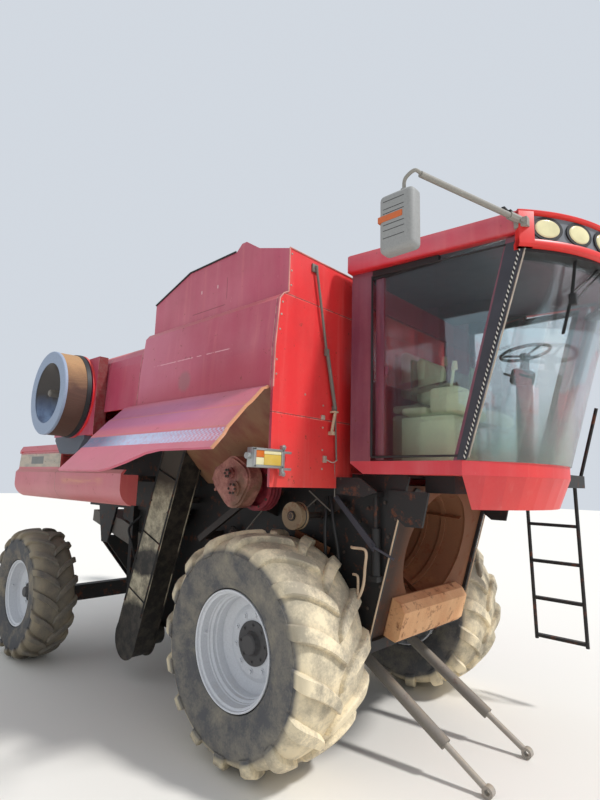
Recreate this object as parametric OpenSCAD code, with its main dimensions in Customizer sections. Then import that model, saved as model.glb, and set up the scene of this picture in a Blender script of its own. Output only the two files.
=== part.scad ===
// Combine harvester, parked with its feeder and header taken off.
// Millimetres. +X is the machine's front, +Y its left, +Z up, and z = 0 is the ground.
// The origin is on the ground in the middle of the machine's footprint. Every piece is drawn
// from the drive axle, whose line is moved to its place by from_axle().

/* [Drive wheels] */
// Radius of the drive tyre over its lugs
drive_tyre_r = 880; // [820:10:920]
// Width of the drive tyre
drive_tyre_w = 770; // [620:10:780]
// Radius of the drive rim's lip
drive_rim_r = 438; // [380:2:460]
// Width of the drive rim over its lips
drive_rim_w = 690; // [560:10:700]
// Clearance between the side sheets and the drive tyre
drive_gap = 50; // [40:5:90]
// Number of lugs along each shoulder of the drive tyre
drive_lugs = 14; // [12:1:20]

/* [Steered wheels] */
// Radius of the steered tyre over its lugs
steer_tyre_r = 750; // [700:10:780]
// Width of the steered tyre
steer_tyre_w = 470; // [380:10:500]
// Radius of the steered rim's lip
steer_rim_r = 380; // [350:2:400]
// Width of the steered rim over its lips
steer_rim_w = 410; // [340:10:440]
// Distance from the kingpin to the steered tyre
steer_gap = 100; // [100:5:160]
// Number of lugs along each shoulder of the steered tyre
steer_lugs = 14; // [12:1:20]
// Distance between the drive axle and the steered axle
wheelbase = 3660; // [3600:10:3720]
// Distance from the middle to the kingpin
kingpin_y = 1300; // [1250:10:1320]

/* [Body] */
// Half width of the tank and the hood at their widest
body_half_w = 1700; // [1660:10:1740]
// Half width of the threshing body over its side sheets
sheet_half_w = 780; // [740:10:800]
// Thickness of a panel with its frame
panel_t = 25; // [20:1:32]
// Foot of the leaning front ahead of the drive axle
front_foot_x = 750; // [720:5:780]
// Height of the foot of the leaning front
front_foot_z = 945; // [920:5:970]
// Front face of the grain tank ahead of the drive axle
tank_front_x = 530; // [500:5:550]
// Rear face of the grain tank behind the drive axle
tank_rear_x = 1400; // [1360:10:1440]
// Height of the threshing body's top, where the tank sits
body_top_z = 2120; // [2100:5:2140]
// Height of the hinge line of the side shields
shield_z = 2850; // [2800:10:2900]
// Height of the tank's shoulder
tank_shoulder_z = 3545; // [3500:5:3580]
// Height of the highest edge of the tank's extension
tank_peak_z = 4200; // [4190:5:4250]
// Underside of the rear hood's frame
hood_floor_z = 1760; // [1740:5:1800]
// Rear face of the engine hood behind the drive axle
engine_rear_x = 3100; // [3050:10:3150]
// Overhang of the rear hood behind the steered axle
rear_overhang = 790; // [740:10:900]

/* [Side shields] */
// Depth of a shield over the drive wheel
shield_len = 680; // [640:10:700]
// Depth of a shield behind the drive wheel
shield_arch_len = 900; // [860:10:920]
// Angle at which the right shield stands open
shield_open = 43; // [0:1:70]

/* [Cab] */
// Half width of the cab at its windows
cab_half_w = 920; // [880:10:960]
// Rear wall of the cab ahead of the drive axle
cab_rear_x = 650; // [630:5:680]
// Foot of the front pillar ahead of the drive axle
pillar_x = 1610; // [1580:10:1650]
// Top of the cab's floor
floor_z = 2340; // [2330:5:2360]
// Underside of the cab's roof
roof_z = 3850; // [3800:10:3880]
// Lean of the windscreen and the front pillars
cab_lean = 15.5; // [14:0.5:17]
// How far the windscreen bows out ahead of the pillars
screen_bow = 380; // [350:10:400]

/* [Air screen] */
// Radius of the rotary air screen
air_r = 460; // [400:10:480]
// Length of the rotary air screen
air_len = 290; // [240:10:320]
// Radius of the air screen's open eye
air_eye_r = 330; // [300:5:350]
// Height of the air screen's axis
air_z = 3050; // [3030:10:3080]
// Air screen's axis behind the drive axle
air_x = 2600; // [2580:10:2620]

/* [Unloading auger] */
// Radius of the auger's tube
auger_r = 165; // [140:5:170]
// Length of the tube from its pivot to its spout
auger_len = 5100; // [4800:50:5300]
// Distance from the middle to the auger's pivot
auger_y = 2140; // [2130:5:2150]
// Height of the auger's tube
auger_z = 3440; // [3430:5:3480]

/* [Lift cylinders] */
// Distance from the middle to each header lift cylinder
lift_y = 380; // [340:10:420]
// Length of the barrel from its base pin
lift_barrel_len = 1120; // [1080:10:1140]
// Length of the rod that shows
lift_rod_out = 375; // [375:5:395]

/* [Hidden] */

$fn = 64;
shaft_gap = 0.05;
slack = 5;
cut = 1;

visor_front_x = 2500;
auger_pivot_x = 100;
spout_r = auger_r + 30;
rear_reach = auger_len + spout_r - auger_pivot_x;
drive_axle_x = (rear_reach - visor_front_x) / 2;

wall_red = "firebrick";
frame_black = [0.13, 0.12, 0.11];
dusty_grey = [0.45, 0.42, 0.38];
rust_brown = [0.45, 0.25, 0.14];
rim_grey = [0.78, 0.78, 0.76];
tyre_grey = [0.22, 0.21, 0.2];

drive_outer_y = sheet_half_w + drive_gap + drive_tyre_w;
steer_outer_y = kingpin_y + steer_gap + steer_tyre_w;
hood_rear_x = wheelbase + rear_overhang;
drive_y = drive_outer_y - drive_tyre_w / 2;
steer_y = steer_outer_y - steer_tyre_w / 2;
drive_disc_y = drive_outer_y - 300;
steer_disc_y = steer_outer_y - 190;
bead_step = 28;
bead_inset = 32;
drive_shaft_r = 60;
spindle_r = 45;
kingpin_r = 30;
tie_pin_r = 16;
tie_arm = 230;
tie_inset = 0;

sheet_t = 30;
sheet_in = sheet_half_w - sheet_t;
weld_y = sheet_half_w - sheet_t / 2;
front_bar_h = 80;
axle_top_z = 1020;
belly_z = 500;
deck_z = 2540;
deck_t = 60;
hood_seam_z = 2235;
panel_out = 35;
hood_top_z = 2530;
hood_fall = 3500;
cab_floor_t = 100;
cab_rest_t = 20;
cab_rest_z = floor_z - cab_floor_t - cab_rest_t;
front_top_x = 1110;
front_lean = atan2(front_top_x - front_foot_x, cab_rest_z - front_foot_z);
shoe_rear_x = 1950;
ledge_in = 130;
bend_z = 3160;
ledge_z = tank_shoulder_z + 75;

lift_pin_x = 220;
lift_pin_z = 820;
lift_eye_r = 40;
lift_len = lift_barrel_len + lift_rod_out;
lift_drop = asin((lift_pin_z - lift_eye_r - slack) / lift_len);

screen_r = (pow(cab_half_w, 2) + pow(screen_bow, 2)) / (2 * screen_bow);
screen_axis_x = pillar_x + screen_bow - screen_r;
pane_t = 12;
seal_gap = 0.3;
pillar_w = 60;

// Moves a piece from the drive axle's line to its place in the machine
module from_axle()
    translate([drive_axle_x, 0, 0]) children();

// The children and their mirror image on the machine's right
module both_sides() {
    children();
    mirror([0, 1, 0]) children();
}

// A side outline in X and Z, from y to y + t
module side_plate(y, t)
    translate([0, y + t, 0]) rotate([90, 0, 0]) linear_extrude(t) children();

// A front outline in Y and Z, from x to x + t
module cross_plate(x, t)
    translate([x, 0, 0]) rotate([90, 0, 90]) linear_extrude(t) children();

// A block between two opposite corners
module block(low, high)
    translate(low) cube(high - low);

// A round bar along Y
module bar_y(x, z, r, y0, y1)
    translate([x, y0, z]) rotate([-90, 0, 0]) cylinder(r = r, h = y1 - y0);

// A round bar between two points
module rod(a, b, r) {
    d = b - a;
    run = norm([d[0], d[1]]);
    translate(a) rotate([0, atan2(run, d[2]), atan2(d[1], d[0])]) cylinder(r = r, h = norm(d));
}

// Wheels

// The tyre's section: radius along x, width along y. Its beads sit between the rim's lips.
module tyre_section(r, w, lip_r, rim_w) {
    h = w / 2;
    bead_r = lip_r - bead_step;
    bead_h = rim_w / 2 - bead_inset;
    side = r - lip_r;
    // columns: radius, half width
    half = [[bead_r, bead_h], [lip_r + 6, bead_h], [lip_r + side * 0.3, h],
            [lip_r + side * 0.72, h * 0.98], [r, h * 0.62]];
    polygon(concat([for (p = half) [p[0], -p[1]]], [for (i = [len(half) - 1 : -1 : 0]) half[i]]));
}

// One lug of the chevron tread, leaning from the shoulder to the middle
module lug(r, w, reach) {
    thick = reach * 0.36;
    translate([0, 0, r * 0.84])
        linear_extrude(r * 0.2)
            polygon([[0, w * 0.48], [thick, w * 0.48], [reach + thick, -w * 0.04], [reach, -w * 0.04]]);
}

module tyre(x, y, r, w, lip_r, rim_w, lugs, lug_h, reach) {
    translate([x, y, r]) {
        rotate([90, 0, 0]) rotate_extrude($fn = 28) tyre_section(r - lug_h, w, lip_r, rim_w);
        intersection() {
            rotate([90, 0, 0]) cylinder(r = r, h = w, center = true, $fn = 28);
            for (side = [0, 1], i = [0 : lugs - 1])
                mirror([0, side, 0]) rotate([0, 360 * (i + side / 2) / lugs, 0])
                    lug(r, w, reach);
        }
    }
}

// A rim open to the outside: lips, wells, a disc at disc_y and a bored hub
module rim(x, z, outer_y, width, lip_r, disc_y, hub_r, bore_r) {
    seat_r = lip_r - bead_step;
    well_r = lip_r - 62;
    t = 12;
    inner_y = outer_y - width;
    // columns: radius, distance from the middle of the machine
    outer_line = [[lip_r, outer_y - 8], [lip_r, outer_y - 22], [seat_r, outer_y - 30],
                  [seat_r, outer_y - 110], [well_r, outer_y - 140], [well_r, inner_y + 140],
                  [seat_r, inner_y + 110], [seat_r, inner_y + 30], [lip_r, inner_y + 22],
                  [lip_r, inner_y + 8]];
    inner_line = [[lip_r - 14, inner_y + 8], [seat_r - t, inner_y + 36], [seat_r - t, inner_y + 106],
                  [well_r - t, inner_y + 136], [well_r - t, disc_y - 16], [hub_r, disc_y - 16],
                  [hub_r, disc_y - 50], [bore_r, disc_y - 50], [bore_r, disc_y + 70],
                  [hub_r * 0.9, disc_y + 70], [hub_r, disc_y + 50], [hub_r, disc_y],
                  [well_r - t, disc_y], [well_r - t, outer_y - 144], [seat_r - t, outer_y - 114],
                  [seat_r - t, outer_y - 36], [lip_r - 14, outer_y - 8]];
    translate([x, 0, z]) rotate([-90, 0, 0]) rotate_extrude() polygon(concat(outer_line, inner_line));
}

module drive_tyre_left()
    color(tyre_grey) from_axle()
        tyre(0, drive_y, drive_tyre_r, drive_tyre_w, drive_rim_r, drive_rim_w, drive_lugs, 45, 250);
module drive_tyre_right()
    mirror([0, 1, 0]) drive_tyre_left();

module drive_rim_left()
    color(rim_grey) from_axle()
        rim(0, drive_tyre_r, drive_y + drive_rim_w / 2, drive_rim_w, drive_rim_r, drive_disc_y, 120,
            drive_shaft_r + shaft_gap);
module drive_rim_right()
    mirror([0, 1, 0]) drive_rim_left();

module steer_tyre_left()
    color(tyre_grey) from_axle()
        tyre(-wheelbase, steer_y, steer_tyre_r, steer_tyre_w, steer_rim_r, steer_rim_w, steer_lugs, 35,
             160);
module steer_tyre_right()
    mirror([0, 1, 0]) steer_tyre_left();

module steer_rim_left()
    color(rim_grey) from_axle()
        rim(-wheelbase, steer_tyre_r, steer_y + steer_rim_w / 2, steer_rim_w, steer_rim_r, steer_disc_y,
            95, spindle_r + shaft_gap);
module steer_rim_right()
    mirror([0, 1, 0]) steer_rim_left();

// Axles and steering

module drive_axle() {
    color(frame_black) from_axle() {
        block([-130, -sheet_half_w, drive_tyre_r - 130], [130, sheet_half_w, axle_top_z]);
        both_sides() {
            bar_y(0, drive_tyre_r, 170, sheet_half_w, sheet_half_w + 40);
            bar_y(0, drive_tyre_r, 125, sheet_half_w, drive_disc_y - 60);
            bar_y(0, drive_tyre_r, drive_shaft_r, sheet_half_w, drive_disc_y + 60);
            difference() {
                side_plate(lift_y - 50, 100)
                    polygon([[130, drive_tyre_r - 100], [lift_pin_x, lift_pin_z - 45],
                             [lift_pin_x + 40, lift_pin_z], [lift_pin_x, lift_pin_z + 45],
                             [130, drive_tyre_r + 100]]);
                block([150, lift_y - 31, lift_pin_z - 120], [400, lift_y + 31, lift_pin_z + 120]);
            }
            bar_y(lift_pin_x, lift_pin_z, 20, lift_y - 32, lift_y + 32);
        }
    }
}

beam_low_z = steer_tyre_r - 170;
beam_top_z = steer_tyre_r + 10;
king_h = 360;
king_low_z = steer_tyre_r - king_h / 2;

module steer_axle() {
    color(frame_black) from_axle() difference() {
        union() {
            block([-wheelbase - 60, -kingpin_y, beam_low_z], [-wheelbase + 60, kingpin_y, beam_top_z]);
            both_sides() translate([-wheelbase, kingpin_y, king_low_z]) cylinder(r = 62, h = king_h);
        }
        both_sides() translate([-wheelbase, kingpin_y, king_low_z - cut])
            cylinder(r = kingpin_r + shaft_gap, h = king_h + 2 * cut);
    }
}

module knuckle_left() {
    plate_t = 30;
    top_z = king_low_z + king_h + 1;
    low_z = king_low_z - 1 - plate_t;
    block_y = kingpin_y + 70;
    tie_y = kingpin_y - tie_inset;
    color(frame_black) from_axle() translate([-wheelbase, 0, 0]) {
        translate([0, kingpin_y, low_z]) cylinder(r = kingpin_r, h = top_z + plate_t - low_z);
        for (z = [low_z, top_z]) {
            translate([0, kingpin_y, z]) cylinder(r = 60, h = plate_t);
            block([-60, kingpin_y, z], [60, block_y + 10, z + plate_t]);
        }
        block([-60, block_y, low_z], [60, block_y + 25, top_z + plate_t]);
        bar_y(0, steer_tyre_r, spindle_r, block_y + 10, steer_disc_y + 60);
        translate([0, 0, low_z]) linear_extrude(plate_t)
            polygon([[-30, kingpin_y - 50], [-tie_arm, tie_y - 30], [-tie_arm - 30, tie_y],
                     [-tie_arm, tie_y + 30], [-30, kingpin_y + 50]]);
        translate([-tie_arm, tie_y, low_z - 40]) cylinder(r = tie_pin_r, h = 45);
    }
}
module knuckle_right()
    mirror([0, 1, 0]) knuckle_left();

module tie_rod() {
    z = king_low_z - 1 - 30 - 2 - 36;
    tie_y = kingpin_y - tie_inset;
    color(frame_black) from_axle() translate([-wheelbase - tie_arm, 0, z]) difference() {
        union() {
            both_sides() translate([0, tie_y, 0]) cylinder(r = 36, h = 36);
            bar_y(0, 18, 16, -tie_y + 20, tie_y - 20);
        }
        both_sides() translate([0, tie_y, -cut]) cylinder(r = tie_pin_r + shaft_gap, h = 36 + 2 * cut);
    }
}

// Body

// Side sheet of the threshing body, down to the drive axle and to the augers below the sieves
module sheet_outline() {
    boot_x = -2480;
    polygon([[front_foot_x, front_foot_z - front_bar_h], [front_foot_x, front_foot_z],
             [front_top_x, cab_rest_z], [tank_front_x + 40, cab_rest_z],
             [tank_front_x + 40, body_top_z], [-tank_rear_x - 40, body_top_z],
             [-tank_rear_x - 40, deck_z], [-engine_rear_x, deck_z],
             [-engine_rear_x, hood_top_z - panel_t],
             [-hood_rear_x + 280, hood_top_z - panel_t], [-hood_rear_x + 280, hood_floor_z],
             [-shoe_rear_x, hood_floor_z], [-shoe_rear_x, 1180], [boot_x, 960],
             [boot_x, 700], [boot_x + 80, belly_z], [-1600, belly_z], [-520, 700],
             [-300, axle_top_z], [200, axle_top_z], [front_foot_x - 160, front_foot_z - front_bar_h]]);
}

// A straight bar between two points of a side outline
module strip(a, b, w) {
    d = b - a;
    translate(a) rotate(atan2(d[1], d[0])) translate([0, -w / 2]) square([norm(d), w]);
}

module main_frame() {
    saddle_t = 24;
    saddle_top_z = 1360;
    saddle_x = 60 + saddle_t;
    brace_foot = [-2860, 860];
    color(frame_black) from_axle() {
        both_sides() side_plate(sheet_in, sheet_t) sheet_outline();
        // cross members between the sheets: x, z of the lower edge, side of the square
        for (bar = [[560, 1040, 90], [-1700, 2400, 90], [-2900, 2400, 90],
                    [-hood_rear_x + 330, hood_floor_z, 90], [-2300, 560, 90]])
            block([bar[0] - bar[2] / 2, -weld_y, bar[1]], [bar[0] + bar[2] / 2, weld_y, bar[1] + bar[2]]);
        // trestle and saddle that carry the steered axle
        both_sides() side_plate(sheet_in, sheet_t)
            polygon([[-wheelbase - 240, hood_floor_z + 40], [-wheelbase + 280, hood_floor_z + 40],
                     [-wheelbase + saddle_x, saddle_top_z - 80], [-wheelbase - saddle_x, saddle_top_z - 80]]);
        for (x = [-wheelbase - saddle_x, -wheelbase + 60])
            cross_plate(x, saddle_t)
                polygon([[-weld_y, saddle_top_z - 80], [-180, beam_low_z - 20], [180, beam_low_z - 20],
                         [weld_y, saddle_top_z - 80], [weld_y, saddle_top_z], [-weld_y, saddle_top_z]]);
        block([-wheelbase - saddle_x, -300, beam_top_z], [-wheelbase + saddle_x, 300, beam_top_z + 60]);
        // post and brace behind the elevators
        both_sides() side_plate(sheet_in, sheet_t + 50) {
            strip([-2890, hood_floor_z + 40], brace_foot, 80);
            strip([-shoe_rear_x + 250, hood_floor_z + 40], brace_foot, 70);
        }
        // arms that carry the rear side panels: x, z
        for (arm = [[-1900, 2150], [-2900, 2150], [-4000, 2150]])
            both_sides() block([arm[0] - 30, weld_y, arm[1] - 30],
                               [arm[0] + 30, body_half_w - panel_t + panel_out, arm[1] + 30]);
        // front cross bar
        block([front_foot_x - 70, -weld_y, front_foot_z - front_bar_h], [front_foot_x, weld_y, front_foot_z]);
        // rest of the cab
        block([tank_front_x + 40, -sheet_half_w, cab_rest_z - cut],
              [front_top_x - 10, sheet_half_w, floor_z - cab_floor_t]);
    }
}

// Leaning frame of the front: its local z runs up the front from its foot
module on_front()
    from_axle() translate([front_foot_x, 0, front_foot_z]) rotate([0, front_lean, 0]) children();

// Transition cone in the leaning front. Its inner rings and its vanes guide the crop to the rotor.
module intake_cone() {
    mouth_r = 500;
    throat_r = 340;
    mouth_z = 705;
    depth = 470;
    wall = 14;
    plate_t = 30;
    plate_h = 1250;
    plate_half_w = sheet_in - 0.1;
    ring_w = 36;
    ring_h = 16;
    vane_h = 45;
    vane_t = 12;
    vane_end = depth - 20;
    function cone_r(t) = mouth_r - (mouth_r - throat_r) * t / depth;
    // a ring's four corners: radius, depth
    function ring(t) = [[cone_r(t), t], [cone_r(t) - ring_h, t], [cone_r(t + ring_w) - ring_h, t + ring_w],
                        [cone_r(t + ring_w), t + ring_w]];
    color(rust_brown) on_front() {
        difference() {
            block([-60, -plate_half_w, 0], [-60 + plate_t, plate_half_w, plate_h]);
            translate([-60 - cut, 0, mouth_z]) rotate([0, 90, 0]) cylinder(r = mouth_r, h = plate_t + 2 * cut);
        }
        translate([-50, 0, mouth_z]) {
            rotate([0, -90, 0]) rotate_extrude()
                polygon(concat([[mouth_r, 0]], ring(150), ring(310),
                               [[throat_r, depth], [throat_r + wall, depth], [mouth_r + wall, 0]]));
            for (a = [60, 180, 300])
                rotate([a, 0, 0]) side_plate(-vane_t / 2, vane_t)
                    polygon([[-12, cone_r(12) + wall / 2], [-12, cone_r(12) - vane_h],
                             [-vane_end, cone_r(vane_end) - vane_h],
                             [-vane_end, cone_r(vane_end) + wall / 2]]);
        }
        // stone trap below the mouth
        side_plate(-550, 1100)
            polygon([[-30, 0], [90, 0], [115, 40], [115, 250], [60, 300], [-30, 320]]);
    }
}

module front_brackets() {
    ram = [840, sheet_half_w + 45];
    color(frame_black) {
        from_axle() {
            both_sides() {
                side_plate(sheet_half_w, 24)
                    polygon([[940, 2120], [1290, 2110], [1230, 1850], [1090, 1850], [960, 1950]]);
                for (z = [1420, 2060])
                    block([ram[0] - 40, sheet_half_w, z], [ram[0] + 40, sheet_half_w + 90, z + 40]);
                translate([ram[0], ram[1], 1460]) cylinder(r = 36, h = 360);
                translate([ram[0], ram[1], 1820]) cylinder(r = 18, h = 240);
            }
            // sheet below the cab's right rear corner
            side_plate(-cab_half_w - 26, 16)
                polygon([[tank_front_x, 2075], [tank_front_x, cab_rest_z - 10], [760, cab_rest_z - 10],
                         [930, 2100], [800, 2060]]);
            // tank below the cab's floor
            block([1150, -600, 2105], [1400, -300, floor_z - cab_floor_t]);
        }
    }
}

// Section of the grain tank: inset moves it inwards by the panel's thickness
module tank_section(inset) {
    top = inset > 0 ? ledge_z + cut : ledge_z;
    // columns: half width, height
    side = [[sheet_half_w - inset / 2, body_top_z + inset], [body_half_w - inset, shield_z + inset / 3],
            [body_half_w - 6 - inset, bend_z], [body_half_w - 40 - inset, tank_shoulder_z - inset / 3],
            [body_half_w - 78 - inset, tank_shoulder_z + 48 - inset / 2],
            [body_half_w - ledge_in - inset, ledge_z - inset / 3], [body_half_w - ledge_in - inset, top]];
    polygon(concat(side, [for (i = [len(side) - 1 : -1 : 0]) [-side[i][0], side[i][1]]]));
}

module grain_tank() {
    fill_x = -tank_rear_x + 160;
    fill_y = -1100;
    fill_top_z = tank_peak_z - 400;
    color(wall_red) from_axle() {
        difference() {
            cross_plate(-tank_rear_x, tank_rear_x + tank_front_x) tank_section(0);
            cross_plate(-tank_rear_x + panel_t, tank_rear_x + tank_front_x - 2 * panel_t)
                tank_section(panel_t);
        }
        // bulkhead in front of the side shields
        cross_plate(tank_front_x - panel_t, panel_t)
            polygon([[-body_half_w, body_top_z], [body_half_w, body_top_z],
                     [body_half_w, shield_z], [-body_half_w, shield_z]]);
        // filling auger
        translate([fill_x, fill_y, 2470]) cylinder(r = 110, h = fill_top_z - 2470);
        rod([fill_x, fill_y, fill_top_z - 20], [fill_x + 500, fill_y + 560, fill_top_z + 90], 95);
    }
}

module tank_extension() {
    y = body_half_w - ledge_in;
    front_top_z = tank_peak_z - 220;
    rear_top_z = tank_peak_z - 270;
    color(wall_red) from_axle() {
        // side walls with the ear of their hinge: x, z
        both_sides() side_plate(y - panel_t, panel_t)
            polygon([[tank_front_x, ledge_z], [tank_front_x, front_top_z], [170, tank_peak_z - 110],
                     [30, tank_peak_z - 20], [0, tank_peak_z], [-60, tank_peak_z], [-130, tank_peak_z - 60],
                     [-810, tank_peak_z - 70], [-tank_rear_x + 80, rear_top_z + 25],
                     [-tank_rear_x, rear_top_z], [-tank_rear_x, ledge_z]]);
        block([tank_front_x - panel_t, -y, ledge_z], [tank_front_x, y, front_top_z]);
        block([-tank_rear_x, -y, ledge_z], [-tank_rear_x + panel_t, y, rear_top_z]);
    }
}

module engine()
    color(dusty_grey) from_axle() block([-2750, -480, deck_z + deck_t], [-1750, 560, deck_z + deck_t + 750]);

module engine_deck()
    color(frame_black) from_axle() {
        block([-engine_rear_x, -body_half_w + panel_t, deck_z],
              [-tank_rear_x, body_half_w - panel_t, deck_z + deck_t]);
        // foot under the air screen's housing
        side_plate(-body_half_w - housing_out, housing_out)
            polygon([[-3060, deck_z + deck_t], [-3060, deck_z + 20], [-2900, deck_z - 130],
                     [-2450, deck_z - 130], [-2300, deck_z + 20], [-2300, deck_z + deck_t]]);
    }

// Section of the engine hood: its half width, its top and its open lower edge
module hood_section(half, top, low) {
    // columns: in from the half width, down from the top
    side = [[0, top - low], [18, 190], [32, 105], [62, 45], [105, 12], [170, 0]];
    polygon(concat([for (p = side) [half - p[0], top - p[1]]],
                   [for (i = [len(side) - 1 : -1 : 0]) [side[i][0] - half, top - side[i][1]]]));
}

skirt_x = 2100;

module engine_hood() {
    color(wall_red) from_axle() {
        difference() {
            cross_plate(-engine_rear_x, engine_rear_x - tank_rear_x)
                hood_section(body_half_w, hood_fall, shield_z);
            cross_plate(-engine_rear_x + panel_t, engine_rear_x - tank_rear_x)
                hood_section(body_half_w - panel_t, hood_fall - panel_t, shield_z - cut);
        }
        both_sides() block([-engine_rear_x, body_half_w - panel_t, deck_z], [-skirt_x, body_half_w, shield_z]);
        block([-engine_rear_x, -body_half_w, deck_z + deck_t], [-engine_rear_x + panel_t, body_half_w, shield_z]);
    }
}

housing_out = 100;

module screen_housing() {
    y = body_half_w + housing_out;
    color(wall_red) from_axle() {
        block([-engine_rear_x, -y, deck_z + deck_t], [-skirt_x, -body_half_w, shield_z + 600]);
        bar_y(-air_x, air_z, air_r + 10, -y - 25, -y);
        bar_y(-air_x, air_z, 30, -y - air_len, -y - 25);
    }
}

module air_screen() {
    base_y = body_half_w + housing_out + 30;
    face_y = base_y + air_len;
    eye_t = 12;
    hub_r = 60;
    bore_r = 30 + shaft_gap;
    color([0.42, 0.3, 0.2]) from_axle() translate([-air_x, 0, air_z]) rotate([90, 0, 0]) rotate_extrude()
        // columns: radius, distance out
        polygon([[air_r - 16, base_y], [air_r, base_y + 8], [air_r, base_y + 40], [air_r - 14, base_y + 48],
                 [air_r - 14, face_y - 36], [air_r, face_y - 28], [air_r, face_y - 10], [air_r - 10, face_y],
                 [air_eye_r, face_y], [air_eye_r - eye_t, face_y - 8], [hub_r + 60, base_y + 50],
                 [hub_r, base_y + 40], [bore_r, base_y + 40], [bore_r, base_y + 6], [hub_r, base_y + 6],
                 [hub_r + 60, base_y + 36], [air_eye_r - 2 * eye_t, base_y + 20]]);
}

module rear_hood() {
    lip = 18;
    color(wall_red) from_axle() difference() {
        union() {
            side_plate(-body_half_w, 2 * body_half_w)
                polygon([[-engine_rear_x, hood_seam_z], [-engine_rear_x, hood_top_z],
                         [-hood_rear_x + 130, hood_top_z], [-hood_rear_x + 40, hood_top_z - 50],
                         [-hood_rear_x, hood_seam_z]]);
            // rounded lip along the top edge of each side
            side_plate(-body_half_w - lip, 2 * (body_half_w + lip))
                polygon([[-engine_rear_x - slack, hood_top_z - 66], [-engine_rear_x - slack, hood_top_z],
                         [-hood_rear_x + 130, hood_top_z], [-hood_rear_x + 40, hood_top_z - 50],
                         [-hood_rear_x + 30, hood_top_z - 90], [-hood_rear_x + 110, hood_top_z - 66]]);
        }
        side_plate(-body_half_w + panel_t, 2 * (body_half_w - panel_t))
            polygon([[-engine_rear_x + cut, hood_seam_z - cut], [-engine_rear_x + cut, hood_top_z - panel_t],
                     [-hood_rear_x + 140, hood_top_z - panel_t],
                     [-hood_rear_x + 70, hood_top_z - 70], [-hood_rear_x + panel_t, hood_seam_z - cut]]);
    }
}

module rear_side_panels() {
    bend = 190;
    bend_low = 2060;
    front_x = -1550;
    y = body_half_w + panel_out;
    centre = [y - bend, bend_low];
    color(wall_red) from_axle() both_sides() {
        // bulged panel, curved under at the bottom
        cross_plate(-hood_rear_x, hood_rear_x + front_x) {
            polygon([[y - panel_t, bend_low], [y, bend_low], [y, hood_seam_z - 40], [body_half_w, hood_seam_z],
                     [body_half_w - panel_t, hood_seam_z], [y - panel_t, hood_seam_z - 50]]);
            translate(centre) intersection() {
                difference() {
                    circle(r = bend);
                    circle(r = bend - panel_t);
                }
                polygon([[0, 0], [bend + 10, 0], [bend + 10, -bend - 10], [bend * 0.3, -bend - 10]]);
            }
        }
        // cap at the front end
        cross_plate(front_x - panel_t, panel_t) {
            polygon([centre, [y - panel_t / 2, bend_low], [y - panel_t / 2, hood_seam_z - 50],
                     [centre[0], hood_seam_z - 50]]);
            translate(centre) intersection() {
                circle(r = bend - panel_t / 2);
                polygon([[0, cut], [bend, cut], [bend, -bend], [0, -bend]]);
            }
        }
    }
}

// A closed elevator with flanges along both of its faces and a round boot at its foot
module elevator(foot, head, w, y0, y1, boot_r) {
    flange = 18;
    flange_t = 10;
    for (face = [[y0, y1, 0], [y0, y0 + flange_t, flange], [y1 - flange_t, y1, flange]])
        side_plate(face[0], face[1] - face[0]) {
            strip(foot, head, w + 2 * face[2]);
            translate(foot) circle(r = boot_r + face[2]);
        }
}

module above_tank_floor()
    cross_plate(-3000, 4000)
        polygon([[-sheet_half_w, body_top_z], [-body_half_w, shield_z], [-body_half_w, shield_z + 600],
                 [body_half_w, shield_z + 600], [body_half_w, shield_z], [sheet_half_w, body_top_z]]);

module elevators() {
    head_z = deck_z + 100;
    color(dusty_grey) from_axle() difference() {
        union() {
            // clean grain elevator on the right
            elevator([-2170, 430], [-tank_rear_x, head_z], 380, -sheet_half_w - 420, -sheet_half_w - 170, 200);
            bar_y(-2170, 430, 120, -sheet_half_w - 180, -sheet_half_w);
            block([-1700, -sheet_half_w - 180, 1900], [-1560, -sheet_half_w, 1960]);
            // tailings elevator on the left
            elevator([-2250, 520], [-900, head_z + 60], 260, sheet_half_w + 150, sheet_half_w + 350, 150);
            bar_y(-2250, 520, 90, sheet_half_w, sheet_half_w + 160);
            block([-1500, sheet_half_w, 1700], [-1380, sheet_half_w + 160, 1760]);
        }
        above_tank_floor();
    }
}

// Outline that wraps circles listed anticlockwise: x, z, radius. grow moves it outwards.
function leave(p, i) = let(a = p[i], b = p[(i + 1) % len(p)], run = [b[0] - a[0], b[1] - a[1]])
    atan2(run[1], run[0]) - acos((a[2] - b[2]) / norm(run));
function wrap(p, grow, steps) = [for (i = [0 : len(p) - 1])
    let(first = leave(p, (i + len(p) - 1) % len(p)), sweep = (leave(p, i) - first + 720) % 360)
        for (k = [0 : steps]) let(a = first + sweep * k / steps)
            [p[i][0] + (p[i][2] + grow) * cos(a), p[i][1] + (p[i][2] + grow) * sin(a)]];

// A sheave on its shaft: its grooves open outwards between lips, and its web is dished
module sheave(x, z, r, shaft_r, shaft_y, low_y, w, grooves) {
    lip = r * 0.12;
    pitch = w / grooves;
    web = w * 0.3;
    translate([x, 0, z]) rotate([-90, 0, 0]) rotate_extrude()
        polygon(concat([[0, shaft_y]], [[shaft_r, shaft_y], [shaft_r, low_y + web], [r * 0.72, low_y + web],
                        [r * 0.8, low_y], [r, low_y]],
                       [for (i = [0 : grooves - 1], p = [[0, 0.12], [lip, 0.42], [lip, 0.58], [0, 0.88]])
                            [r - p[0], low_y + pitch * (i + p[1])]],
                       [[r, low_y + w], [r * 0.8, low_y + w], [r * 0.72, low_y + web * 2],
                        [shaft_r * 1.5, low_y + web * 2], [shaft_r * 1.5, low_y + w + 20], [0, low_y + w + 20]]));
}

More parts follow.
